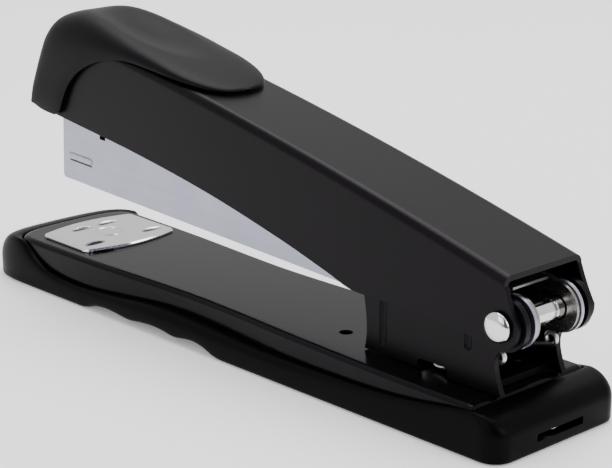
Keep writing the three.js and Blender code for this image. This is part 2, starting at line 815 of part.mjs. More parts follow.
// The strip of staples, less the one that the driver has just used.
const stripFront = railFront;
const stripRear = stripFront + staple.strip;
named(
  "staple_strip",
  cut(
    block(stripFront, stripRear, -staple.width / 2, staple.width / 2, railFoot, crownTop),
    block(
      stripFront - 1,
      stripRear + 1,
      staple.wire - staple.width / 2,
      staple.width / 2 - staple.wire,
      -10,
      crownTop - staple.wire,
    ),
  ),
  finishes.staples,
  magazineFrame,
);

const rodHeight = railTop + rod.lift;
const anchor = { front: -20, rear: -16, top: rodHeight + 2 };
const rodBore = (x0, x1) =>
  solid(
    new THREE.CylinderGeometry(rod.radius + gap, rod.radius + gap, x1 - x0, 12)
      .rotateZ(Math.PI / 2)
      .translate((x0 + x1) / 2, 0, rodHeight),
  );
named(
  "rod_anchor",
  cut(
    block(anchor.front, anchor.rear, 0.4 - earInside, earInside - 0.4, railTop + gap, anchor.top),
    rodBore(anchor.front - 1, anchor.rear + 1),
  ),
  finishes.zinc,
  magazineFrame,
);
const rodLength = rod.front - rod.rear;
const rodHead = 2;
const rodBody = turned(
  [
    [0, 0],
    [rod.radius, 0],
    [rod.radius, rodLength - rodHead],
    [rod.radius + 0.8, rodLength - rodHead],
    [rod.radius + 0.8, rodLength],
    [0, rodLength],
  ],
  12,
);
named(
  "guide_rod",
  solid(geometryOf(rodBody).rotateY(Math.PI / 2).translate(-rod.front, 0, rodHeight)),
  finishes.spring,
  magazineFrame,
);

// The pusher straddles the rail behind the strip and slides on the rod.
const pusherFront = stripRear + gap;
const pusherRear = pusherFront + pusher.length;
const pusherLeg = channelInside - gap;
const saddle = rail.outside + gap;
const saddleTop = railTop + gap;
const collar = { length: 5, halfWidth: 2.6, top: rodHeight + 2.6 };
named(
  "pusher",
  cut(
    join(
      cut(
        block(pusherFront, pusherRear, -pusherLeg, pusherLeg, floorTop + 2 * gap, saddleTop + 0.7),
        block(pusherFront - 1, pusherRear + 1, -saddle, saddle, -10, saddleTop),
      ),
      block(
        pusherRear - collar.length,
        pusherRear,
        -collar.halfWidth,
        collar.halfWidth,
        saddleTop + 0.4,
        collar.top,
      ),
    ),
    rodBore(pusherFront - 1, pusherRear + 1),
  ),
  finishes.blade,
  magazineFrame,
);
const coilSpring = { outside: 2.4, inside: 1.6 };
const springLength = anchor.front - pusherRear - 2 * gap;
named(
  "pusher_spring",
  solid(
    geometryOf(
      turned(
        [
          [coilSpring.inside, 0],
          [coilSpring.outside, 0],
          [coilSpring.outside, springLength],
          [coilSpring.inside, springLength],
          [coilSpring.inside, 0],
        ],
        14,
      ),
    )
      .rotateY(Math.PI / 2)
      .translate(pusherRear + gap, 0, rodHeight),
  ),
  finishes.spring,
  magazineFrame,
);

// ---------------------------------------------------------------- arm
const armTop = (x) => {
  const d = arm.rearTop - x;
  return arm.rearHeight + arm.rise * d - arm.arch * d * d;
};
const armShare = (t) => pin.x - t * magazine.reach; // a place along the arm, 0 at the pin
const armLow = through([
  [arm.front - 2, pin.z + 18.2],
  [armShare(0.924), pin.z + 16.7],
  [armShare(0.764), pin.z + 13.6],
  [armShare(0.589), pin.z + 9.2],
  [armShare(0.427), pin.z + 3.8],
  [bracket.front - 9.5, pin.z - 0.3],
  [bracket.front - 2.9, pin.z - 2.3],
  [bracket.front + 3.0, pin.z - 2.5],
  [pin.x - 20.9, pin.z - 2.7],
  [pin.x - 10.0, pin.z - 3.5],
  [pin.x - 2.8, pin.z - 4.5],
]);
const stations = (x0, x1, count) =>
  Array.from({ length: count + 1 }, (_, i) => x0 + ((x1 - x0) * i) / count);

// A long box along X with round upper edges, from a low level up to top(x).
function roundedBar(x0, x1, count, halfWidth, top, low, fold) {
  const ringAt = (x) => {
    const w = halfWidth(x);
    const f = Math.min(fold, w * 0.98);
    const arc = [0, 0.33, 0.67, 1].map((t) => (t * Math.PI) / 2);
    const left = arc.map((a) => [-w + f * (1 - Math.cos(a)), top(x) - f * (1 - Math.sin(a))]);
    const right = [...left].reverse().map(([y, z]) => [-y, z]);
    const ring = [[-w, low], ...left, ...right, [w, low]].reverse();
    return ring.map(([y, z]) => new THREE.Vector3(y, z, x));
  };
  const made = geometryOf(skin(stations(x0, x1, count).map(ringAt)));
  // The rings were laid in (y, z) with x as their height: turn the axes back.
  made.applyMatrix4(new THREE.Matrix4().set(0, 0, 1, 0, 1, 0, 0, 0, 0, 1, 0, 0, 0, 0, 0, 1));
  return solid(made);
}

const armShape = new THREE.Shape();
armShape.moveTo(arm.front, armLow(arm.front));
stations(arm.front + 5.5, pin.x - 3.3, 34).forEach((x) => armShape.lineTo(x, armLow(x)));
armShape.absarc(pin.x, pin.z, arm.cheek, -1.75, 0.12, false);
armShape.quadraticCurveTo(
  pin.x + 2.6,
  pin.z + 3.9,
  arm.rearTop + 0.3,
  armTop(arm.rearTop) - 0.8,
);
armShape.lineTo(arm.rearTop + 0.2, armTop(arm.front) + 4.25);
armShape.lineTo(arm.front + 4, armTop(arm.front) + 4.25);
const armInner = arm.outside - arm.sheet;
const bladePin = driverReach;
const drivenTilt = (magazine.tilt + driver.stroke) * degrees;
const driven = (x, z) => [
  pin.x + x * Math.cos(drivenTilt) + z * Math.sin(drivenTilt),
  pin.z - x * Math.sin(drivenTilt) + z * Math.cos(drivenTilt),
];
const bladeRivetX = arm.front + 7.5;
const bladeRivet = { y: 3.5, shank: 1.6, foot: 2.6 };
const bladeHoles = [-bladeRivet.y, bladeRivet.y].map((y) =>
  barUp(bladeRivet.shank + gap, bladeRivetX, y, 30, 110),
);
const armCover = cut(
  roundedBar(
    arm.front - 14.5,
    arm.rearTop + 15,
    30,
    () => arm.outside,
    armTop,
    10,
    arm.fold,
  ).intersect(across(armShape, -20, 20, 8)),
  roundedBar(
    arm.front - 24.5,
    arm.rearTop + 20,
    30,
    () => armInner,
    (x) => armTop(x) - arm.sheet,
    0,
    arm.fold - 1.0,
  ),
  barAcross(pin.radius + gap, pin.x, pin.z, -20, 20, 24),
  ...bladeHoles,
);
named("arm_cover", armCover, finishes.blackPaint);

// The driver blade hangs from the arm's roof and enters the slot at the front of the magazine.
const underRoof = (x) => armTop(x) - arm.sheet - gap;
const bladeFoot = 0.1 - magazine.below;
// The blade's height at which it meets the roof.
let bladeTop = 20;
for (let i = 0; i < 12; i++) {
  const [x, z] = driven(-bladePin, bladeTop);
  bladeTop += underRoof(x) - z;
}
const bladeShape = outline([
  driven(-bladePin - driver.sheet / 2, bladeFoot),
  driven(-bladePin + driver.sheet / 2, bladeFoot),
  driven(-bladePin + driver.sheet / 2, bladeTop - driver.sheet - 0.1),
  [bladeRivetX + 4, underRoof(bladeRivetX + 4) - driver.sheet],
  [bladeRivetX + 4, underRoof(bladeRivetX + 4)],
  driven(-bladePin - driver.sheet / 2, bladeTop),
]);
named(
  "driver_blade",
  cut(
    across(bladeShape, -driver.width / 2, driver.width / 2),
    ...bladeHoles,
  ),
  finishes.blade,
);
[-bladeRivet.y, bladeRivet.y].forEach((y, i) => {
  const roof = armTop(bladeRivetX);
  const low = underRoof(bladeRivetX + 3.2) - driver.sheet - gap;
  named(
    `blade_rivet_${i + 1}`,
    join(
      barUp(bladeRivet.shank, bladeRivetX, y, low, roof - 0.5),
      barUp(bladeRivet.foot, bladeRivetX, y, low - 0.9, low),
    ),
    finishes.zinc,
  );
});

// A leaf under the roof presses on the anchor near the pin and lifts the arm.
const leafHalf = rail.outside - 0.1;
const leafRivetX = armShare(0.4193);
const leafRivet = { shank: 1.3, foot: 2.4 };
const leafSheet = 0.6;
const leafEnd = leafRivetX - 6;
const leafBend = leafRivetX + 10;
const leafPath = [
  [leafEnd, underRoof(leafEnd) - leafSheet - 0.1],
  [leafRivetX, underRoof(leafRivetX) - leafSheet - 0.1],
  [leafBend, underRoof(leafBend) - leafSheet - 0.8],
  [pin.x - 31.3, pin.z + rodHeight + 9.4],
  [pin.x - 15.3, pin.z + rodHeight + 4.5],
  [pin.x - 2.3, pin.z + rodHeight + 1.2],
];
named(
  "arm_spring",
  cut(
    across(strip(leafPath, leafSheet, 20), -leafHalf, leafHalf),
    barUp(leafRivet.shank + gap, leafRivetX, 0, 20, 110),
  ),
  finishes.spring,
);
const leafLow = underRoof(leafRivetX) - leafSheet - 0.8;
named(
  "arm_spring_rivet",
  join(
    barUp(leafRivet.shank, leafRivetX, 0, leafLow, underRoof(leafRivetX) - 0.05),
    barUp(leafRivet.foot, leafRivetX, 0, leafLow - 1.1, leafLow),
  ),
  finishes.spring,
);

// ---------------------------------------------------------------- finger cap
const back = (run) => arm.front + run; // a place behind the front edge of the arm
const brow = armTop(arm.front);
const tongueRoot = back(cap.root);
const tongueTip = back(cap.tongue);
const capTop = through([
  [back(-9.5), armTop(back(-9.5)) - 6.58],
  [back(-4.5), armTop(back(-4.5)) - 1.79],
  [back(0.5), armTop(back(0.5)) + 1.62],
  [back(8.5), armTop(back(8.5)) + 4.19],
  [back(17.5), armTop(back(17.5)) + 4.68],
  [back(31.5), armTop(back(31.5)) + 4.08],
  [back(45.5), armTop(back(45.5)) + 3.05],
  [back(53.5), armTop(back(53.5)) + 2.13],
  [tongueTip, armTop(tongueTip) + 1.18],
]);
const capHalf = (x) => {
  const u = THREE.MathUtils.clamp((x - tongueRoot) / (tongueTip - tongueRoot), 0, 0.998);
  const side = cap.outside - 0.9 * THREE.MathUtils.smoothstep(x, back(5.5), back(41.5));
  return side * Math.sqrt(1 - u ** 2.4);
};
const capTip = back(-8.3);
const capShape = new THREE.Shape();
capShape.moveTo(capTip + 0.3, brow - 20.36);
capShape.lineTo(capTip, brow - 18.36);
capShape.lineTo(capTip + 5.8, brow + 0.24);
capShape.lineTo(capTip + 13.8, brow + 9.24);
capShape.lineTo(back(65.5), brow + 9.24);
capShape.lineTo(back(65.5), armTop(back(65.5)) + 0.8);
capShape.lineTo(tongueRoot - 4, armTop(tongueRoot - 4) - 0.6);
capShape.lineTo(back(31.5), armTop(back(31.5)) - 1.9);
capShape.quadraticCurveTo(back(19.5), brow - 6.16, back(13), brow - 10.16);
capShape.quadraticCurveTo(back(7.5), brow - 14.26, back(5.2), brow - 21.16);
capShape.quadraticCurveTo(back(3.5), brow - 22.16, back(1), brow - 22.06);
const capPlan = new THREE.Shape();
capPlan.moveTo(back(75.5), -20);
capPlan.lineTo(capTip + 7.8, -20);
capPlan.lineTo(capTip + 7.8, -cap.outside);
capPlan.quadraticCurveTo(capTip + 0.6, -cap.outside, capTip, -7.5);
capPlan.quadraticCurveTo(capTip - 0.4, 0, capTip, 7.5);
capPlan.quadraticCurveTo(capTip + 0.6, cap.outside, capTip + 7.8, cap.outside);
capPlan.lineTo(capTip + 7.8, 20);
capPlan.lineTo(back(75.5), 20);
const capInside = capTip + cap.wall;
const capHollow = outline([
  [capInside + 0.3, brow - 35.76],
  [capInside + 0.1, brow - 18.76],
  [capInside + 3.9, brow - 5.76],
  [capInside + 6.9, armTop(capInside + 6.9) + gap],
  ...stations(back(5.5), back(85.5), 20).map((x) => [x, armTop(x) + gap]),
  [back(85.5), brow - 35.76],
]);
const dish = new THREE.SphereGeometry(1, 24, 12);
dish.scale(22, 7.6, 3.2);
dish.rotateY(12.5 * degrees);
dish.translate(back(24.5), 0, armTop(back(24.5)) + 6.21);
const fingerCap = cut(
  roundedBar(back(-24.5), tongueTip, 44, capHalf, capTop, 10, cap.fold)
    .intersect(across(capShape, -30, 30, 8))
    .intersect(upward(capPlan, 0, 120, 6)),
  across(capHollow, -arm.outside - gap, arm.outside + gap),
  solid(dish),
);
named("finger_cap", fingerCap, finishes.blackPlastic);

export default stapler;
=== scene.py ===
"""Looks for a full-strip desk stapler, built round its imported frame. Shapes are in millimetres."""

import json
import math

import bmesh
import bpy
import numpy as np
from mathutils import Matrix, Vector


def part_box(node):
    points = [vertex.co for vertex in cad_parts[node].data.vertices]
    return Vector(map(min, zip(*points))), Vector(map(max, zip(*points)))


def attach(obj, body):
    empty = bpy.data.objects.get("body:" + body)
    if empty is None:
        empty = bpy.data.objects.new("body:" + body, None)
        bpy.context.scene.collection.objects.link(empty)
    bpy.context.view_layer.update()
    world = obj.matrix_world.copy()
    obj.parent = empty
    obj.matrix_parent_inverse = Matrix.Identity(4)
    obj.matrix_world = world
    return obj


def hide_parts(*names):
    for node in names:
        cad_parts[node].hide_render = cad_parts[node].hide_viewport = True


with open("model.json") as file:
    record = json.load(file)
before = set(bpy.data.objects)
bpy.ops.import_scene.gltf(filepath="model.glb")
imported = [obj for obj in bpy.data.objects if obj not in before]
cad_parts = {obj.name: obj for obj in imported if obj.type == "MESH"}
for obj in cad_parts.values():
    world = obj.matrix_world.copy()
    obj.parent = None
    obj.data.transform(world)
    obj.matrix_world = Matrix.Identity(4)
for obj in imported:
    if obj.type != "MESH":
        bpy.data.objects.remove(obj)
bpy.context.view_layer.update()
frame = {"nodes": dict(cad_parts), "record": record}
MM = 0.001
MERGED = 2e-6  # vertices closer than this are one

# ---------------------------------------------------------------- the stapler's own measurements
HALF_LENGTH = 86.0
HALF_WIDTH = 19.0
DECK_NOSE = -76.3
DECK_SEAM = 77.9
DECK_FRONT_HEIGHT = 11.6
DECK_SEAM_HEIGHT = 10.2
PIN = np.array([79.3, 25.6])
TILT = math.radians(2.44)
ARM_HALF = 11.65
ARM_SHEET = 1.2
ARM_FOLD = 2.0
PIN_RADIUS = 2.3
ROD_HEIGHT = 4.2  # of the guide rod, above the pin in the magazine's frame
WIRE_RADIUS = 0.5
RIVET_RADIUS = 1.5
RIVET_HEAD = 2.4
SCREWS_X = (-24.1, 68.8)
DECK_HOLE_X = 31.5
DECK_HOLE_Y = 5.9
ANVIL_GAP = 0.15  # between the anvil and the deck


# ---------------------------------------------------------------- curves
def through(stations):
    """A smooth cubic through [x, y] stations, whose slope at each is that between its neighbours."""
    x, y = np.array(stations, float).T
    ahead = np.minimum(np.arange(len(x)) + 1, len(x) - 1)
    behind = np.maximum(np.arange(len(x)) - 1, 0)
    slope = (y[ahead] - y[behind]) / (x[ahead] - x[behind])

    def curve(at):
        at = np.clip(np.asarray(at, float), x[0], x[-1])
        i = np.clip(np.searchsorted(x, at, "right") - 1, 0, len(x) - 2)
        w = x[i + 1] - x[i]
        t = (at - x[i]) / w
        ease = t * t * (3 - 2 * t)
        bend = slope[i] * t * (1 - t) ** 2 - slope[i + 1] * t * t * (1 - t)
        return y[i] + (y[i + 1] - y[i]) * ease + w * bend

    return curve


def smoothstep(x, low, high):
    """Rises from 0 at low to 1 at high with level ends."""
    t = np.clip((np.asarray(x, float) - low) / (high - low), 0, 1)
    return t * t * (3 - 2 * t)


def arm_top(x):
    """The arm's crest: a straight rise from the hinge that flattens as the square of the distance."""
    d = 80.0 - x
    return 35.9 + 0.267 * d - 0.000425 * d * d


arm_low = through([
    (-67.5, 43.8), (-55.8, 42.3), (-32.4, 39.2), (-6.8, 34.8), (16.9, 29.4), (31.8, 25.3),
    (38.4, 23.3), (44.3, 23.1), (58.4, 22.9), (69.3, 22.1), (76.5, 21.1),
])  # fmt: skip
deck_half = through([
    (-72.2, 17.2), (-44.7, 16.7), (-12.0, 15.1), (5.2, 15.4), (27.5, 16.5), (51.6, 17.2), (79.1, 17.1),
])  # fmt: skip
rim_height = through([
    (-71.4, 11.3), (-66.2, 7.7), (-60.2, 5.5), (-48.2, 4.6), (-34.4, 5.4), (-20.6, 6.5),
    (-8.6, 6.5), (17.2, 5.6), (41.3, 6.0), (60.2, 7.1), (79.1, 9.8),
])  # fmt: skip


def deck_top(x):
    """The deck's crest, which falls evenly from the front edge to the seam."""
    share = (DECK_SEAM - x) / (DECK_SEAM - DECK_NOSE)
    return DECK_SEAM_HEIGHT + (DECK_FRONT_HEIGHT - DECK_SEAM_HEIGHT) * share


# ---------------------------------------------------------------- meshes
def standing_for(node, name, mesh, body, finish):
    """An object of a mesh in one finish, which rides on a body and takes the place of a node."""
    mesh.materials.clear()
    mesh.materials.append(finish.material)
    made = bpy.data.objects.new(name, mesh)
    bpy.context.scene.collection.objects.link(made)
    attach(made, body)
    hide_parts(node)
    return made


def mesh_from(name, verts, faces):
    """A mesh from vertices in millimetres, with its doubles merged and its faces turned out."""
    mesh = bpy.data.meshes.new(name)
    mesh.from_pydata((np.asarray(verts, float) * MM).tolist(), [], faces)
    work = bmesh.new()
    work.from_mesh(mesh)
    bmesh.ops.remove_doubles(work, verts=work.verts, dist=MERGED)
    bmesh.ops.recalc_face_normals(work, faces=work.faces)
    work.to_mesh(mesh)
    work.free()
    return mesh


def piece(name, verts, faces, body, node, finish, slot, sharp=38.0):
    """A piece from vertices in millimetres, smooth but for edges over the sharp angle."""
    mesh = mesh_from(name, verts, faces)
    mesh.shade_smooth()
    mesh.set_sharp_from_angle(angle=math.radians(sharp))
    return standing_for(node, name, mesh, body, finish)


def rounded(made, width, angle, segments=3):
    """Round every edge that turns by more than an angle in degrees, by a width in millimetres."""
    edge = made.modifiers.new("edge", "BEVEL")
    edge.width = width * MM
    edge.segments = segments
    edge.limit_method = "ANGLE"
    edge.angle_limit = math.radians(angle)


def ring_faces(rings, points):
    """Quads between closed rings of equally many points."""
    k = np.arange(rings - 1)[:, None]
    i = np.arange(points)[None, :]
    nxt = (i + 1) % points
    up = k + 1
    quads = np.stack([k * points + i, k * points + nxt, up * points + nxt, up * points + i], -1)
    return quads.reshape(-1, 4).tolist()


def ladder(first, points):
    """A lid on a ring whose two ends mirror each other: rungs join the two sides."""
    i = np.arange((points - 1) // 2)
    quads = np.stack([i, i + 1, points - 2 - i, points - 1 - i], -1) + first
    faces = [list(dict.fromkeys(q)) for q in quads.tolist()]
    return [f for f in faces if len(f) > 2]


def tray(name, rings, *rest, **more):
    """A closed skin over mirrored rings, with a ladder lid at each end."""
    rings = np.asarray(rings, float)
    count, points = rings.shape[:2]
    faces = ring_faces(count, points) + ladder(0, points) + ladder((count - 1) * points, points)
    return piece(name, rings.reshape(-1, 3), faces, *rest, **more)


def spun(profile, sides=48):
    """A [radius, height] profile turned about its Z axis, as (vertices, faces)."""
    profile = np.asarray(profile, float)
    a = np.linspace(0, 2 * np.pi, sides, endpoint=False)
    r, z = profile[:, :1], profile[:, 1:]
    verts = np.stack([r * np.cos(a), r * np.sin(a), z + 0 * a], -1)
    return verts.reshape(-1, 3), ring_faces(len(profile), sides)


def in_magazine(points):
    """Points given from the pin, level along the magazine, turned up to its rest tilt."""
    x, y, z = np.moveaxis(np.asarray(points, float), -1, 0)
    c, s = math.cos(TILT), math.sin(TILT)
    return np.stack([PIN[0] + x * c + z * s, y, PIN[1] - x * s + z * c], -1)


def cut_from(made, cutters):
    """Takes closed cutting shapes, each (vertices, faces) in millimetres, out of a piece for good."""
    for verts, faces in cutters:
        tool = bpy.data.objects.new("cutter", mesh_from("cutter", verts, faces))
        bpy.context.scene.collection.objects.link(tool)
        modifier = made.modifiers.new("cut", "BOOLEAN")
        modifier.object = tool
        modifier.operation = "DIFFERENCE"
        modifier.solver = "EXACT"
        bpy.context.view_layer.update()
        graph = bpy.context.evaluated_depsgraph_get()
        cut_mesh = bpy.data.meshes.new_from_object(made.evaluated_get(graph))
        made.modifiers.clear()
        made.data = cut_mesh
        bpy.data.objects.remove(tool)
    made.data.shade_smooth()
    made.data.set_sharp_from_angle(angle=math.radians(38))
    return made


def box_shape(low, high):
    """A plain box as (vertices, faces), for cutting only."""
    grid = np.array(np.meshgrid(*zip(low, high), indexing="ij")).reshape(3, -1).T
    faces = [(0, 1, 3, 2), (4, 6, 7, 5), (0, 4, 5, 1), (2, 3, 7, 6), (0, 2, 6, 4), (1, 5, 7, 3)]
    return grid, faces


def post_shape(radius, x, y, low, high, sides=40):
    """A closed round post as (vertices, faces), for cutting only."""
    verts, faces = spun([(radius, low), (radius, high)], sides)
    lids = [list(range(sides)), list(range(sides, 2 * sides))]
    return verts + [x, y, 0], faces + lids


# ---------------------------------------------------------------- shader maths
class Signal:
    """A shader socket that does arithmetic: each operator adds one Math node."""

    def __init__(self, finish, socket):
        self.finish, self.socket = finish, socket

    def maths(self, operation, a, b):
        return self.finish.add("ShaderNodeMath", {"operation": operation}, {0: a, 1: b})

    def __add__(self, other):
        return self.maths("ADD", self, other)

    def __sub__(self, other):
        return self.maths("SUBTRACT", self, other)

    def __rsub__(self, other):
        return self.maths("SUBTRACT", other, self)

    def __mul__(self, other):
        return self.maths("MULTIPLY", self, other)

    __radd__ = __add__
    __rmul__ = __mul__


class Finish:
    """One material: a Principled shader, and the nodes that vary it over the surface."""

    def __init__(self, name, color, roughness, metallic=0.0, **fixed):
        self.material = bpy.data.materials.new(name)
        self.material.use_nodes = True
        self.nodes = self.material.node_tree.nodes
        self.links = self.material.node_tree.links
        self.shader = self.nodes["Principled BSDF"]
        self.shader.inputs["Base Color"].default_value = (*color, 1)
        self.shader.inputs["Roughness"].default_value = roughness
        self.shader.inputs["Metallic"].default_value = metallic
        for socket, value in fixed.items():
            self.shader.inputs[socket.replace("_", " ")].default_value = value
        self.place = self.add("ShaderNodeTexCoord", {}, {}, "Object")

    def add(self, kind, settings, inputs, output=0):
        node = self.nodes.new(kind)
        for key, value in settings.items():
            if key == "stops":
                self.set_stops(node.color_ramp, value)
            else:
                setattr(node, key, value)
        for key, value in inputs.items():
            if isinstance(value, Signal):
                self.links.new(value.socket, node.inputs[key])
            else:
                node.inputs[key].default_value = value
        return Signal(self, node.outputs[output])

    def set_stops(self, ramp, stops):
        for i, (at, color) in enumerate(stops):
            stop = ramp.elements[i] if i < 2 else ramp.elements.new(at)
            stop.position = at
            stop.color = (*color, 1)

    def feed(self, socket, signal):
        self.links.new(signal.socket, self.shader.inputs[socket])

    def axis(self, letter):
        """One of the object coordinates, in metres."""
        return self.add("ShaderNodeSeparateXYZ", {}, {"Vector": self.place}, letter)

    def stretched(self, scale):
        """Object coordinates stretched by three factors, in cells per metre."""
        inputs = {"Vector": self.place, "Scale": scale}
        return self.add("ShaderNodeMapping", {"vector_type": "POINT"}, inputs)

    def cloud(self, scale, detail=3.0, rough=0.55):
        """Noise between 0 and 1 at a scale of so many cells per metre along each axis."""
        scale = scale if isinstance(scale, tuple) else (scale,) * 3
        return self.add(
            "ShaderNodeTexNoise",
            {"noise_dimensions": "3D"},
            {"Vector": self.stretched(scale), "Scale": 1.0, "Detail": detail, "Roughness": rough},
        )

    def between(self, signal, low, high, dark, light):
        """Colours from dark to light as the signal goes from low to high."""
        stops = [(low, dark), (high, light)]
        return self.add("ShaderNodeValToRGB", {"stops": stops}, {"Fac": signal})

    def emboss(self, height, distance, strength=1.0, over=None):
        """Bumps of a height signal, one on another, into the normal."""
        inputs = {"Height": height, "Distance": distance, "Strength": strength}
        if over:
            inputs["Normal"] = over
        return self.add("ShaderNodeBump", {}, inputs)


WARM = (1.0, 0.92, 0.99, 1.0)  # the blacks gloss slightly towards plum


def black_enamel(name, gloss, shine):
    """Baked satin enamel: fine orange peel, slow gloss variation and faint dust-sized flecks."""
    f = Finish(name, (0.0024, 0.0018, 0.0024), gloss, Specular_IOR_Level=shine, Specular_Tint=WARM)
    slow = f.cloud(28.0, 2.0)
    peel = f.cloud(1500.0, 2.0)
    fleck = f.cloud(5200.0, 1.0)
    f.feed("Roughness", gloss - 0.05 + slow * 0.08 + fleck * 0.04)
    dark, light = (0.0020, 0.0015, 0.0020), (0.0030, 0.0023, 0.0030)
    f.feed("Base Color", f.between(slow, 0.3, 0.7, dark, light))
    first = f.emboss(peel, 0.00003, 0.4)
    f.feed("Normal", f.emboss(fleck, 0.000008, 0.3, first))
    return f


def black_plastic(name, color, rough, grain, shine):
    """Moulded plastic with a fine eroded grain, a little uneven in gloss."""
    f = Finish(name, color, rough, Specular_IOR_Level=shine, Specular_Tint=WARM)
    slow = f.cloud(40.0, 2.0)
    fine = f.cloud(grain, 2.0, 0.7)
    finer = f.cloud(grain * 2.3, 1.0)
    f.feed("Roughness", rough - 0.06 + slow * 0.08 + fine * 0.06)
    lighter = tuple(c * 1.25 for c in color)
    f.feed("Base Color", f.between(fine * 0.6 + slow * 0.4, 0.3, 0.7, color, lighter))
    first = f.emboss(fine, 0.00003, 0.55)
    f.feed("Normal", f.emboss(finer, 0.00001, 0.4, first))
    return f


def zinc_plate():
    """Pale blue-grey zinc on rolled sheet: long rolling lines, soft clouds and small spots.

    Under the lanced tab at the front is painted shade where the lance opens the sheet: a thin
    dark band along the magazine's own slope, as long as the tab."""
    f = Finish("zinc_plated_steel", (0.50, 0.51, 0.58), 0.34, 1.0)
    rolled = f.cloud((14.0, 700.0, 1500.0), 3.0)
    clouds = f.cloud(60.0, 3.0)
    spots = f.cloud(900.0, 2.0)
    x0, _, z0 = in_magazine(np.array([[-139.0, 0.0, -0.5]]))[0] * MM
    slope = math.tan(TILT)
    x, z = f.axis("X"), f.axis("Z")
    run = x - x0
    drop = z + x * slope - (z0 + x0 * slope)
    run, drop = run.maths("ABSOLUTE", run, 0.0), drop.maths("ABSOLUTE", drop, 0.0)
    # painted shade: a thin dark band under the lanced tab, where the opening would lie in shadow; it pulls
    # the tone down to the darkest colour stop
    painted_slit_shade = run.maths("LESS_THAN", run, 0.0044) * drop.maths("LESS_THAN", drop, 0.00019)
    tone = clouds * 0.6 + rolled * 0.4 - painted_slit_shade
    stops = [(0.0, (0.03, 0.03, 0.04)), (0.32, (0.315, 0.32, 0.395)), (0.68, (0.40, 0.405, 0.48))]
    f.feed("Base Color", f.add("ShaderNodeValToRGB", {"stops": stops}, {"Fac": tone}))
    f.feed("Roughness", 0.26 + clouds * 0.1 + rolled * 0.14)
    f.feed("Normal", f.emboss(rolled * 0.7 + spots * 0.3, 0.00001, 0.35))
    return f


def chrome_plate(name, level, shade=None):
    """Bright plating: almost a mirror, with faint polishing haze and thin hairlines.

    A shade attribute between 0 and 1, if there is one, marks where painted shade darkens the plating in
    its hollows."""
    f = Finish(name, (level, level, level * 1.04), 0.1, 1.0)
    haze = f.cloud(120.0, 3.0)
    hair = f.cloud((300.0, 5200.0, 900.0), 2.0)
    bright, dull = (level, level, level * 1.04), (level * 0.9, level * 0.9, level * 0.94)
    color = f.between(haze, 0.3, 0.7, dull, bright)
    rough = 0.06 + haze * 0.08 + hair * 0.05
    if shade:
        # painted shade: the plating turns darker, and rougher, towards the bottom of each pocket
        painted_pocket_shade = f.add("ShaderNodeAttribute", {"attribute_name": shade}, {}, "Fac")
        color = f.between(painted_pocket_shade * 1.3 - haze * 0.3, 0.1, 0.75, bright, (0.05, 0.045, 0.045))
        rough = rough + painted_pocket_shade * 0.25
    f.feed("Base Color", color)
    f.feed("Roughness", rough)
    f.feed("Normal", f.emboss(hair, 0.000004, 0.25))
    return f


def drawn_steel(name, dark, light, rough, along):
    """Drawn or ground steel: lines along the work, and darker handling clouds."""
    f = Finish(name, light, rough, 1.0)
    lines = f.cloud(along, 3.0)
    clouds = f.cloud(150.0, 2.0)
    f.feed("Base Color", f.between(lines * 0.5 + clouds * 0.5, 0.3, 0.7, dark, light))
    f.feed("Roughness", rough - 0.08 + lines * 0.12 + clouds * 0.08)
    f.feed("Normal", f.emboss(lines, 0.000008, 0.4))
    return f


ENAMEL = black_enamel("satin_black_enamel", 0.32, 0.1)
DECK_ENAMEL = black_enamel("deck_enamel", 0.17, 0.095)
CAP_PLASTIC = black_plastic("matt_cap_plastic", (0.0021, 0.0017, 0.0022), 0.38, 2600.0, 0.08)
SKIRT_PLASTIC = black_plastic("skirt_plastic", (0.0013, 0.0011, 0.0014), 0.33, 3600.0, 0.042)
NYLON = black_plastic("nylon_washer", (0.0015, 0.0015, 0.0016), 0.5, 4200.0, 0.1)
ZINC = zinc_plate()
CHROME = chrome_plate("bright_chrome", 0.75)
ANVIL_CHROME = chrome_plate("anvil_chrome", 0.68, "pocket")
SPRING = drawn_steel(
    "spring_steel", (0.36, 0.35, 0.34), (0.58, 0.57, 0.55), 0.28, (120.0, 2500.0, 2500.0)
)
BLADE = drawn_steel(
    "hardened_blade", (0.16, 0.16, 0.17), (0.34, 0.34, 0.36), 0.34, (2500.0, 2500.0, 90.0)
)
STAPLE = drawn_steel(
    "galvanised_wire", (0.42, 0.42, 0.45), (0.70, 0.70, 0.74), 0.32, (2200.0, 150.0, 150.0)
)
NICKEL = drawn_steel(
    "dull_nickel", (0.20, 0.185, 0.17), (0.34, 0.32, 0.29), 0.24, (90.0, 2200.0, 2200.0)
)
SPRING_WIRE = drawn_steel(
    "plated_wire", (0.50, 0.50, 0.51), (0.78, 0.78, 0.80), 0.27, (700.0, 700.0, 2400.0)
)
SCREW = drawn_steel(
    "plated_screw", (0.38, 0.37, 0.33), (0.62, 0.60, 0.55), 0.3, (1500.0, 1500.0, 400.0)
)


# ---------------------------------------------------------------- base
def plan(front, rear, half_at, corner, bow, square, side_count=120):
    """A plan ring: quarter-round rear corners, sides that follow half_at, and a bowed nose.

    The nose is a cubic from the side to the middle of the front edge. One side is worked out
    from the rear to the nose, and the other is its mirror image."""
    a = np.linspace(0, np.pi / 2, 9)
    inset = half_at(rear) - corner
    turn = np.stack([rear - corner + corner * np.cos(a), -(inset + corner * np.sin(a))], -1)
    end = front + square
    x = np.linspace(rear - corner, end, side_count + 1)[1:]
    side = np.stack([x, -half_at(x)], -1)
    t = np.linspace(0, 1, 25)[1:, None]
    y = float(half_at(end))
    knots = np.array([(end, -y), (front + bow, -y), (front, -y + bow + 1), (front, 0.0)])
    weight = np.concatenate([(1 - t) ** 3, 3 * t * (1 - t) ** 2, 3 * t * t * (1 - t), t**3], -1)
    near = np.concatenate([turn, side, weight @ knots])
    far = near[:-1][::-1] * [1, -1]
    return np.concatenate([near, far])


def rim_plan(out):
    return plan(DECK_NOSE - out, DECK_SEAM + out, lambda x: deck_half(x) + out, 1.0, 1.2, 8)


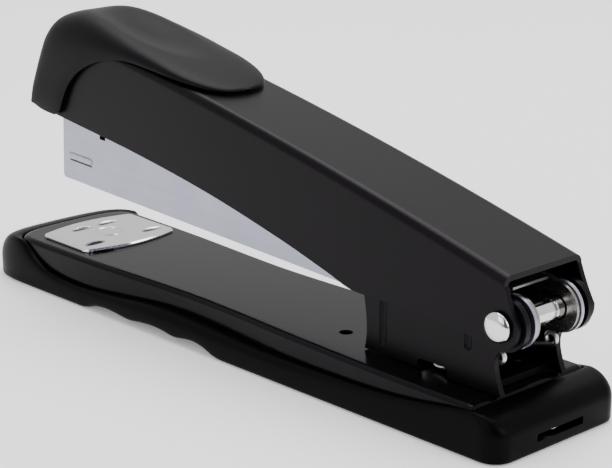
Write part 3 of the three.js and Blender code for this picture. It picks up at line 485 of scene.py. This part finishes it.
def lifted(flat, height):
    """A plan ring with a height for each of its points."""
    return np.concatenate([flat, np.broadcast_to(height, (len(flat),))[:, None]], -1)


def finger_arches(x):
    """Height of the foot's edge: three shallow arches that meet in soft cusps."""
    edge = through([
        (-46.4, 0.0), (-44.9, 0.25), (-42.5, 1.1), (-38.0, 1.7), (-33.5, 1.6), (-28.3, 1.15), (-24.0, 1.6),
        (-19.5, 1.9), (-15.5, 1.7), (-11.4, 1.25), (-8.0, 1.75), (-4.5, 1.95), (-1.0, 1.4),
        (2.2, 0.35), (4.6, 0.0),
    ])  # fmt: skip
    return np.maximum(edge(x), 0.0)


def base_skirt():
    """A moulded wall round the deck: an upright band that rounds over to the lip.

    Each ring blends the foot's plan into the lip's plan by a quarter turn, so the wall is a
    quarter ellipse everywhere. The foot's edge rises in the finger arches."""

    def straight(x):
        return HALF_WIDTH + 0 * np.asarray(x, float)

    foot = plan(-HALF_LENGTH, HALF_LENGTH, straight, 4.4, 2, 16)
    lip = rim_plan(1.1)
    x = foot[:, 0]
    top = rim_height(lip[:, 0])
    band = np.minimum(top - 2.2, 3.4)
    band = band + (4.6 - band) * smoothstep(-x, HALF_LENGTH - 18, HALF_LENGTH - 6)
    band = band + (5.0 - band) * smoothstep(x, HALF_LENGTH - 6, HALF_LENGTH - 1)
    arch = finger_arches(x) * smoothstep(np.abs(foot[:, 1]), 18.0, 18.9)

    def inset(d):
        return foot * [1 - d / HALF_LENGTH, 1 - d / HALF_WIDTH]

    rings = [
        lifted(inset(7.6), 0.0),
        lifted(inset(7.0), 0.0),
        lifted(inset(6.8), arch),
        lifted(inset(1.0), arch),
        lifted(inset(0.5), arch + 0.1),
        lifted(inset(0.16), arch + 0.35),
        lifted(inset(0.02), arch + 0.8),
    ]
    for turn in np.linspace(0, np.pi / 2, 15):
        inward, up = 1 - math.cos(turn), math.sin(turn)
        rings.append(lifted(foot + (lip - foot) * inward, band + (top - band) * up))
    crest = rim_plan(0.6)
    rings.append(lifted(crest, top - 0.03))
    rings.append(lifted(rim_plan(0.3), top - 0.12))
    rings.append(lifted(rim_plan(0.16), top - 0.35))
    rings.append(lifted(rim_plan(0.16), 3.3))
    rings.append(lifted(rim_plan(0.1), 3.2))
    made = tray("skirt", rings, "base", "base_skirt", SKIRT_PLASTIC, "black_plastic", sharp=50)
    slot = box_shape((76.2, -7.0, 2.4), (90.0, 7.0, 4.0))
    recesses = [post_shape(3.3, screw_x, 0.0, -1.0, 1.7) for screw_x in SCREWS_X]
    return cut_from(made, [slot, *recesses])


def deck_plate():
    """The folded deck: a flat crest, a quarter-round fold all round and a hanging flange."""
    fold = 1.3
    rings = [lifted(rim_plan(-1.0), 3.75), lifted(rim_plan(0.0), 3.7)]
    for turn in np.linspace(0, np.pi / 2, 10):
        flat = rim_plan(-fold * (1 - math.cos(turn)))
        rings.append(lifted(flat, deck_top(flat[:, 0]) - fold * (1 - math.sin(turn))))
    for inset in (fold + 0.1, fold + 1.2):
        flat = rim_plan(-inset)
        rings.append(lifted(flat, deck_top(flat[:, 0])))
    made = tray("deck", rings, "base", "deck_plate", DECK_ENAMEL, "black_paint")
    holes = [post_shape(1.5, DECK_HOLE_X, y, 2.0, 20.0) for y in (-DECK_HOLE_Y, DECK_HOLE_Y)]
    return cut_from(made, holes)


def pocket_depth(x, y):
    """Depth, from 0 to 1, of four long bowls, each a half ellipse in section and a little bent."""
    depth = 0 * x
    for px, py, length in ((-5.9, -4.0, 6.2), (-5.9, 4.0, 6.2), (5.9, -8.8, 6.2), (5.9, 8.8, 6.2)):
        bend = 0.35 * np.cos((y - py) / length * np.pi)
        r = ((x - px + bend) / 1.2) ** 2 + ((y - py) / (length / 2)) ** 2
        depth = np.maximum(depth, np.sqrt(np.clip(1 - r, 0, 1)))
    return depth


def anvil_plate():
    """A bowed plate with rolled edges: its top is a grid, lowered in four clinching pockets.

    Each pocket is a long bowl, a half ellipse in depth, with a rim that rises a little."""
    rows, columns = 150, 220
    u, v = np.meshgrid(np.linspace(-1, 1, rows), np.linspace(-1, 1, columns), indexing="ij")
    half_y, corner = 13.8, 1.4
    reach = 8.9 + 2.45 * (1 - v**2)
    corner_pull = corner * (1 - np.sqrt(np.clip(1 - smoothstep(np.abs(v), 0.9, 1.0) ** 2, 0, 1)))
    x = u * (reach - corner_pull)
    y = v * half_y
    edge = np.minimum((1 - np.abs(u)) * reach, (1 - np.abs(v)) * half_y)
    z = 0.70 - 0.34 * (1 - smoothstep(edge, 0.0, 0.7)) ** 2
    z = z - 0.5 * pocket_depth(x, y)
    centre = np.sqrt(x**2 + y**2)
    z = z - 0.22 * np.exp(-(((centre - 3.3) / 0.22) ** 2))
    top = np.stack([x, y, z], -1)
    floor_grid = np.stack([x, y, 0 * z], -1)
    verts = np.concatenate([top.reshape(-1, 3), floor_grid.reshape(-1, 3)])
    count = rows * columns
    i, j = np.meshgrid(np.arange(rows - 1), np.arange(columns - 1), indexing="ij")
    a = (i * columns + j).ravel()
    sheet = np.stack([a, a + columns, a + columns + 1, a + 1], -1)
    border = np.concatenate([
        np.arange(columns),
        np.arange(1, rows) * columns + columns - 1,
        (rows - 1) * columns + np.arange(columns - 2, -1, -1),
        np.arange(rows - 2, 0, -1) * columns,
    ])
    nxt = np.roll(border, -1)
    wall = np.stack([border, nxt, nxt + count, border + count], -1)
    faces = np.concatenate([sheet, sheet[:, ::-1] + count, wall]).tolist()
    low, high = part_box("anvil_plate")
    lean = math.atan((DECK_FRONT_HEIGHT - DECK_SEAM_HEIGHT) / (DECK_SEAM - DECK_NOSE))
    centre_x = (low[0] + high[0]) / 2 / MM
    c, s = math.cos(lean), math.sin(lean)
    x, y, z = verts.T
    turned = np.stack([x * c + z * s, y, -x * s + z * c], -1)
    turned = turned + [centre_x, 0, deck_top(centre_x) + ANVIL_GAP]
    made = piece("anvil", turned, faces, "anvil", "anvil_plate", ANVIL_CHROME, "chrome", sharp=60)
    at = np.empty(3 * len(made.data.vertices))
    made.data.vertices.foreach_get("co", at)
    x, y, _ = at.reshape(-1, 3).T / MM
    # the pocket depth is kept on the points so that shade can be painted into the plating's hollows
    painted_pocket_shade = made.data.attributes.new("pocket", "FLOAT", "POINT")
    painted_pocket_shade.data.foreach_set("value", pocket_depth(x - centre_x, y).astype(np.float32))
    return made


# ---------------------------------------------------------------- arm and cap
def arm_cover():
    """A folded channel: each cross-section runs up one cheek, over the roof and down the other.

    The cheek is ruled between its lower edge, which ends in a round about the pin, and the fold
    line under the crest. The inside repeats the outside one sheet thinner."""
    x = np.linspace(-65.5, 76.0, 90)
    lower = np.stack([x, arm_low(x)], -1)
    a = np.linspace(-1.75, 0.12, 20)
    round_end = PIN + 4.7 * np.stack([np.cos(a), np.sin(a)], -1)
    t = np.linspace(0, 1, 9)[1:, None]
    knots = np.array([round_end[-1], (81.9, 29.5), (80.3, arm_top(80.2) - ARM_FOLD - 0.1)])
    rise = (1 - t) ** 2 * knots[0] + 2 * t * (1 - t) * knots[1] + t * t * knots[2]
    lower = np.concatenate([lower, round_end, rise])
    length = np.concatenate([[0], np.cumsum(np.linalg.norm(np.diff(lower, axis=0), axis=1))])
    front, join = np.interp([-45.0, 40.0], x, length[: len(x)])
    crest_x = np.interp(length, [0, front, join, length[-1]], [-62.5, -45.0, 40.0, 80.25])
    crest_z = arm_top(crest_x)

    def section(half, drop, fold):
        """Near cheek, fold, roof, fold and far cheek of every station."""
        share = np.concatenate([[0, 0.015], np.linspace(0.08, 0.92, 9), [0.985]])
        foot_x, foot_z = lower[:, :1], lower[:, 1:]
        base_z = crest_z[:, None] - drop - fold
        cheek = np.stack([
            foot_x + (crest_x[:, None] - foot_x) * share,
            -half + 0 * share + 0 * foot_x,
            foot_z + (base_z - foot_z) * share,
        ], -1)
        a = np.linspace(0, np.pi / 2, 10)
        bend = np.stack([
            crest_x[:, None] + 0 * a,
            -half + fold * (1 - np.cos(a)) + 0 * crest_x[:, None],
            base_z + fold * np.sin(a),
        ], -1)
        y = np.concatenate([[-half + fold + 0.15], np.linspace(-half + fold + 1.2, 0, 6)[:-1]])
        roof = np.stack([
            crest_x[:, None] + 0 * y,
            y + 0 * crest_x[:, None],
            (crest_z - drop)[:, None] + 0 * y,
        ], -1)
        near = np.concatenate([cheek, bend, roof], 1)
        middle = np.stack([crest_x, 0 * crest_x, crest_z - drop], -1)[:, None]
        return np.concatenate([near, middle, near[:, ::-1] * [1, -1, 1]], 1)

    outside = section(ARM_HALF, 0.0, ARM_FOLD)
    inside = section(ARM_HALF - ARM_SHEET, ARM_SHEET, ARM_FOLD - ARM_SHEET)
    rings = np.concatenate([outside, inside[:, ::-1]], 1)
    count, points = rings.shape[:2]
    half = points // 2
    i = np.arange(half - 1)
    rim = np.stack([i, i + 1, points - 2 - i, points - 1 - i], -1)
    faces = ring_faces(count, points) + rim.tolist() + (rim + (count - 1) * points).tolist()
    made = piece("arm", rings.reshape(-1, 3), faces, "arm", "arm_cover", ENAMEL, "black_paint")
    rounded(made, 0.2, 65)
    return made


# Each station of the cap: crest x, z; skirt edge x, z; half width; squareness of its rib.
CAP_STATIONS = np.array([
    (-73.5, 45.4, -70.9, 44.8, 12.60, 6.0),
    (-73.1, 49.8, -67.9, 44.1, 12.80, 6.0),
    (-71.7, 55.0, -64.7, 43.7, 12.90, 5.6),
    (-70.0, 60.2, -62.0, 43.7, 12.90, 5.2),
    (-68.2, 64.0, -60.1, 45.2, 12.90, 4.8),
    (-64.6, 67.1, -58.5, 48.4, 12.90, 4.4),
    (-58.6, 68.55, -56.2, 52.0, 12.90, 4.1),
    (-51.5, 68.2, -51.6, 56.0, 12.85, 3.9),
    (-43.5, 66.7, -44.4, 59.1, 12.70, 3.7),
    (-35.0, 64.8, -35.8, 60.6, 12.40, 3.5),
    (-27.0, 63.0, -27.4, 60.0, 12.00, 3.3),
    (-20.0, 61.3, -20.2, 59.1, 11.60, 3.2),
    (-14.0, 59.7, -14.1, 58.1, 10.30, 3.0),
    (-9.6, 58.4, -9.6, 57.2, 8.00, 2.8),
    (-7.1, 57.5, -7.1, 56.8, 5.00, 2.4),
    (-6.1, 56.9, -6.1, 56.6, 0.80, 2.0),
])  # fmt: skip


def finger_cap():
    """The cap's skin: ribs that run from its crest line round to its skirt edge on each side.

    A rib is a superellipse between the crest point and the edge point, so its middle is flat
    and its corner is round. A long shallow dish for the thumb lowers the top."""
    at = np.arange(len(CAP_STATIONS))
    s = np.concatenate([np.linspace(0, 13, 105)[:-1], np.linspace(13, 15, 22)])
    cx, cz, ex, ez, w, n = (through(np.stack([at, c], -1))(s)[:, None] for c in CAP_STATIONS.T)
    a = np.linspace(0, np.pi / 2, 34)
    across = np.sin(a) ** (2 / n)
    down = 1 - np.abs(np.cos(a)) ** (2 / n)
    x = cx + (ex - cx) * down
    z = cz + (ez - cz) * down
    y = w * across
    spread = ((x + 41.5) / 21.0) ** 2 + (y / 8.4) ** 2
    z = z - 1.5 * np.clip(1 - spread, 0, 1) ** 1.6 * (down < 0.9)
    half = np.stack([x, y, z], -1)
    skin = np.concatenate([half[:, ::-1] * [1, -1, 1], half[:, 1:]], 1)
    rows, columns = skin.shape[:2]
    i, j = np.meshgrid(np.arange(rows - 1), np.arange(columns - 1), indexing="ij")
    k = (i * columns + j).ravel()
    faces = np.stack([k, k + 1, k + columns + 1, k + columns], -1).tolist()
    verts = skin.reshape(-1, 3)
    made = piece("cap", verts, faces, "arm", "finger_cap", CAP_PLASTIC, "black_plastic", sharp=70)
    shell = made.modifiers.new("wall", "SOLIDIFY")
    shell.thickness = 0.9 * MM
    shell.offset = -1
    shell.use_rim = True
    rounded(made, 0.3, 50)
    return made


# ---------------------------------------------------------------- round pieces
def placed_across(verts, side):
    """A shape turned about Z laid along Y, its height pointing out of the given side."""
    x, y, z = verts.T
    return np.stack([PIN[0] + x, side * z, PIN[1] + y], -1)


def hinge_half(name, node, side, inner_end):
    """One half of the hinge pin: a low dome, a rounded rim and a plain shank."""
    head, seat, rim, rise = 3.2, 11.95, 12.3, 1.25
    a = np.linspace(0, np.pi / 2, 14)
    dome = np.stack([head * np.cos(a) ** 0.8, rim + rise * np.sin(a)], -1)
    shank = [
        (0.0, inner_end),
        (PIN_RADIUS - 0.4, inner_end),
        (PIN_RADIUS, inner_end + 0.25),
        (PIN_RADIUS, seat),
        (head - 0.2, seat),
        (head, seat + 0.15),
    ]
    profile = np.concatenate([shank, dome, [(0.0, rim + rise)]])
    verts, faces = spun(profile, 56)
    return piece(name, placed_across(verts, side), faces, "base", node, CHROME, "chrome", sharp=40)


def wire(name, points, radius, body, node, finish, slot, smooth=True):
    """Round wire along points, made as a curve with a round section and kept as a mesh."""
    curve = bpy.data.curves.new(name, "CURVE")
    curve.dimensions = "3D"
    curve.bevel_depth = radius * MM
    curve.bevel_resolution = 3
    curve.use_fill_caps = True
    spline = curve.splines.new("NURBS" if smooth else "POLY")
    spline.points.add(len(points) - 1)
    flat = np.concatenate([np.asarray(points, float) * MM, np.ones((len(points), 1))], 1)
    spline.points.foreach_set("co", flat.ravel())
    if smooth:
        spline.order_u = 4
        spline.use_endpoint_u = True
        spline.resolution_u = 4
    maker = bpy.data.objects.new(name, curve)
    bpy.context.scene.collection.objects.link(maker)
    bpy.context.view_layer.update()
    graph = bpy.context.evaluated_depsgraph_get()
    mesh = bpy.data.meshes.new_from_object(maker.evaluated_get(graph))
    bpy.data.objects.remove(maker)
    mesh.name = name
    mesh.shade_smooth()
    return standing_for(node, name, mesh, body, finish)


def lift_spring():
    """One wire: a curl at the bracket's rear edge, a coil about the arbor behind each window,
    and a bar under the magazine that joins the two sides."""
    low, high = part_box("spring_arbor")
    ax, az = (low[0] + high[0]) / 2 / MM, (low[2] + high[2]) / 2 / MM
    outer, pitch, turns, coil = 7.9, 1.3, 3.125, 2.1
    curl_x, curl_z, curl_radius = 76.4, 17.8, 1.3
    bend = np.linspace(1.25, -0.5, 24) * np.pi
    curl = np.stack([
        curl_x + curl_radius * np.cos(bend),
        outer + 0 * bend,
        curl_z + curl_radius * np.sin(bend),
    ], -1)
    leg = np.array([
        (72.9, outer, 15.7),
        (69.0, outer, 14.3),
        (ax + 4.5, outer, az - coil + 1.5),
        (ax + 2.2, outer, az - coil + 0.4),
    ])
    a = np.linspace(0, turns * 2 * np.pi, 84)
    helix = np.stack([
        ax + coil * np.cos(-a - np.pi / 2),
        outer - pitch * a / (2 * np.pi),
        az + coil * np.sin(-a - np.pi / 2),
    ], -1)
    inner = outer - pitch * turns - 0.2
    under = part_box("lift_spring")[1][2] / MM - WIRE_RADIUS
    arm = np.array([
        (58.0, inner, 13.0), (55.5, inner, 15.6), (52.6, inner, 18.4),
        (50.9, inner - 0.2, under - 0.5), (49.7, inner - 0.8, under), (49.4, inner - 1.8, under),
    ])  # fmt: skip
    side = np.concatenate([curl, leg, helix, arm])
    path = np.concatenate([side, side[::-1] * [1, -1, 1]])
    return wire("lift_wire", path, WIRE_RADIUS, "base", "lift_spring", SPRING_WIRE, "chrome")


def pusher_coil():
    """The pusher's spring: an even helix round the guide rod, in the magazine's own tilt."""
    start, end, radius, gauge, turns = -77.2, -20.4, 2.05, 0.28, 34
    a = np.linspace(0, turns * 2 * np.pi, turns * 14)
    x = start + (end - start) * a / a[-1]
    path = in_magazine(np.stack([x, radius * np.cos(a), ROD_HEIGHT + radius * np.sin(a)], -1))
    made_as = ("magazine", "pusher_spring", SPRING, "spring_steel")
    return wire("pusher_coil", path, gauge, *made_as, smooth=False)


def staple_strip():
    """A glued strip: an upturned U, pinched in between neighbouring staples."""
    count = 94
    front, rear = -143.8, -93.8
    pitch = (rear - front) / count
    edges = front + pitch * np.arange(count)
    x = (edges[:, None] + pitch * np.array([0.0, 0.18, 0.82])).ravel()
    pinch = np.tile([0.06, 0.0, 0.0], count)
    x, pinch = np.append(x, rear), np.append(pinch, 0.06)
    foot, crown, half, gauge, corner = -4.4, 2.0, 6.4, 0.5, 0.7
    a = np.linspace(0, np.pi / 2, 6)

    def arch(w, top, r):
        bend = np.stack([-w + r * (1 - np.cos(a)), top - r * (1 - np.sin(a))], -1)
        near = np.concatenate([[(-w, foot)], bend, [(-w + r + 0.2, top)]])
        return np.concatenate([near, near[::-1] * [-1, 1]])

    inside = arch(half - gauge, crown - gauge, 0.25)[::-1]
    outline = np.concatenate([arch(half, crown, corner), inside])
    inner = len(outline) // 2
    sign = np.concatenate([np.ones(inner), -np.ones(inner)])
    squeeze = pinch[:, None] * sign
    y = outline[:, 0] - np.sign(outline[:, 0]) * squeeze
    z = outline[:, 1] - squeeze * (outline[:, 1] > foot + 0.1)
    rings = in_magazine(np.stack([x[:, None] + 0 * y, y, z], -1))
    points = len(outline)
    i = np.arange(inner - 1)
    rim = np.stack([i, i + 1, points - 2 - i, points - 1 - i], -1)
    faces = ring_faces(len(x), points) + rim.tolist() + (rim + (len(x) - 1) * points).tolist()
    verts = rings.reshape(-1, 3)
    return piece("staples", verts, faces, "magazine", "staple_strip", STAPLE, "staple_wire")


def rivet_heads():
    """Each bracket rivet: a low domed head above, a shank and a flat head below."""
    for k in range(4):
        node = f"bracket_rivet_{k + 1}"
        low, high = (np.array(c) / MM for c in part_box(node))
        cap, seat = 0.8, high[2] - 0.85
        a = np.linspace(0, np.pi / 2, 10)
        dome = np.stack([RIVET_HEAD * np.cos(a), high[2] - cap + cap * np.sin(a)], -1)
        shank = [
            (0, low[2]),
            (RIVET_HEAD, low[2]),
            (RIVET_HEAD, low[2] + cap),
            (RIVET_RADIUS, low[2] + cap),
            (RIVET_RADIUS, seat),
            (RIVET_HEAD, seat),
        ]
        verts, faces = spun(np.concatenate([shank, dome]), 32)
        middle = (low + high) / 2
        verts = verts + [middle[0], middle[1], 0]
        piece(f"rivet_{k + 1}", verts, faces, "base", node, ENAMEL, "black_paint")


# ---------------------------------------------------------------- pieces kept in their frame shape
def eased(node, finish, width=0.1, sharp=34.0):
    """A merged copy of a node whose edges are broken by a small round and whose faces stay flat."""
    mesh = frame["nodes"][node].data.copy()
    work = bmesh.new()
    work.from_mesh(mesh)
    bmesh.ops.remove_doubles(work, verts=work.verts, dist=MERGED)
    flat = math.radians(0.6)  # faces that turn by less than this are one
    bmesh.ops.dissolve_limit(work, angle_limit=flat, verts=work.verts, edges=work.edges)
    work.to_mesh(mesh)
    work.free()
    mesh.shade_smooth()
    mesh.set_sharp_from_angle(angle=math.radians(sharp))
    bodies = frame["record"]["behaviour"]["bodies"]
    body = next(name for name, nodes in bodies.items() if node in nodes)
    made = standing_for(node, f"{node}_eased", mesh, body, finish)
    rounded(made, width, sharp, segments=2)
    level = made.modifiers.new("level", "WEIGHTED_NORMAL")
    level.keep_sharp = True
    level.weight = 80
    return made


base_skirt()
deck_plate()
anvil_plate()
arm_cover()
finger_cap()
hinge_half("hinge_head_near", "hinge_pin", -1, -3.05)
hinge_half("hinge_head_far", "hinge_pin_cap", 1, 3.35)
lift_spring()
pusher_coil()
staple_strip()
rivet_heads()
eased("bracket", ENAMEL, 0.2)
eased("magazine_channel", ZINC, 0.16)
eased("staple_rail", NICKEL, 0.12)
eased("rod_anchor", ZINC, 0.14)
eased("guide_rod", SPRING)
eased("pusher", BLADE, 0.12)
eased("driver_blade", BLADE, 0.08)
eased("blade_rivet_1", ZINC)
eased("blade_rivet_2", ZINC)
eased("arm_spring", SPRING, 0.08)
eased("arm_spring_rivet", SPRING)
eased("spring_arbor", ZINC)
eased("hinge_washer_near", NYLON)
eased("hinge_washer_far", NYLON)
eased("base_screw_front", SCREW)
eased("base_screw_rear", SCREW)
eased("remover_tongue", CHROME)
eased("anvil_rivet", CHROME, 0.06)
eased("anvil_spring", SPRING, 0.06)


# ---------------------------------------------------------------- floor, light and camera
def studio_floor():
    """A very large pale sheet that the stapler stands on, faintly mottled."""
    glow = {"Emission_Color": (1, 1, 1, 1), "Emission_Strength": 0.2}
    paper = Finish("pale_paper", (0.92, 0.92, 0.922), 0.75, **glow)
    tone = paper.cloud(9.0, 2.0)
    paper.feed("Base Color", paper.between(tone, 0.3, 0.7, (0.91, 0.91, 0.912), (0.93, 0.93, 0.932)))
    count, reach, below = 9, 3.0, 0.00002
    along = np.linspace(-reach, reach, count)
    x, y = np.meshgrid(along, along, indexing="ij")
    verts = np.stack([x, y, 0 * x - below], -1).reshape(-1, 3)
    i, j = np.meshgrid(np.arange(count - 1), np.arange(count - 1), indexing="ij")
    k = (i * count + j).ravel()
    quads = np.stack([k, k + count, k + count + 1, k + 1], -1)
    mesh = bpy.data.meshes.new("floor")
    mesh.from_pydata(verts.tolist(), [], quads.tolist())
    mesh.materials.append(paper.material)
    sheet = bpy.data.objects.new("floor", mesh)
    bpy.context.scene.collection.objects.link(sheet)


def soft_light(name, place, aim, size, power):
    """A square soft box at a place, turned to face a point."""
    lamp = bpy.data.lights.new(name, "AREA")
    lamp.energy, lamp.size, lamp.shape = power, size, "SQUARE"
    made = bpy.data.objects.new(name, lamp)
    bpy.context.scene.collection.objects.link(made)
    made.location = place
    made.rotation_euler = (Vector(aim) - Vector(place)).to_track_quat("-Z", "Y").to_euler()


def studio_walls():
    """A white room whose wall on the near right is dark: brightness follows the direction."""
    world = bpy.data.worlds.new("studio")
    bpy.context.scene.world = world
    world.use_nodes = True
    nodes, links = world.node_tree.nodes, world.node_tree.links
    where = nodes.new("ShaderNodeTexCoord")
    facing = nodes.new("ShaderNodeVectorMath")
    facing.operation = "DOT_PRODUCT"
    facing.inputs[1].default_value = (0.72, -0.66, 0.2)
    level = nodes.new("ShaderNodeMapRange")
    level.interpolation_type = "SMOOTHSTEP"
    for socket, value in (("From Min", 0.35), ("From Max", 0.95), ("To Min", 1.05), ("To Max", 0.12)):
        level.inputs[socket].default_value = value
    links.new(where.outputs["Generated"], facing.inputs[0])
    links.new(facing.outputs["Value"], level.inputs["Value"])
    links.new(level.outputs["Result"], nodes["Background"].inputs["Strength"])
    nodes["Background"].inputs["Color"].default_value = (1.0, 1.0, 1.0, 1)


studio_floor()
soft_light("overhead", (-0.15, 0.25, 0.9), (0, 0, 0.03), 0.8, 10.6)
soft_light("near_side", (0.1, -0.9, 0.55), (0, 0, 0.03), 0.7, 3.0)
soft_light("rear_side", (0.9, 0.1, 0.5), (0.05, 0, 0.03), 0.5, 3.5)
studio_walls()

lens = bpy.data.cameras.new("camera")
lens.lens = 110.94
lens.sensor_width = 36.0
lens.sensor_fit = "HORIZONTAL"
lens.clip_start, lens.clip_end = 0.01, 20.0
eye = bpy.data.objects.new("camera", lens)
eye.location = (0.3030945, -0.2727239, 0.1470019)
eye.rotation_euler = (math.radians(73.27), 0.0, math.radians(46.8))
bpy.context.scene.collection.objects.link(eye)
bpy.context.scene.camera = eye
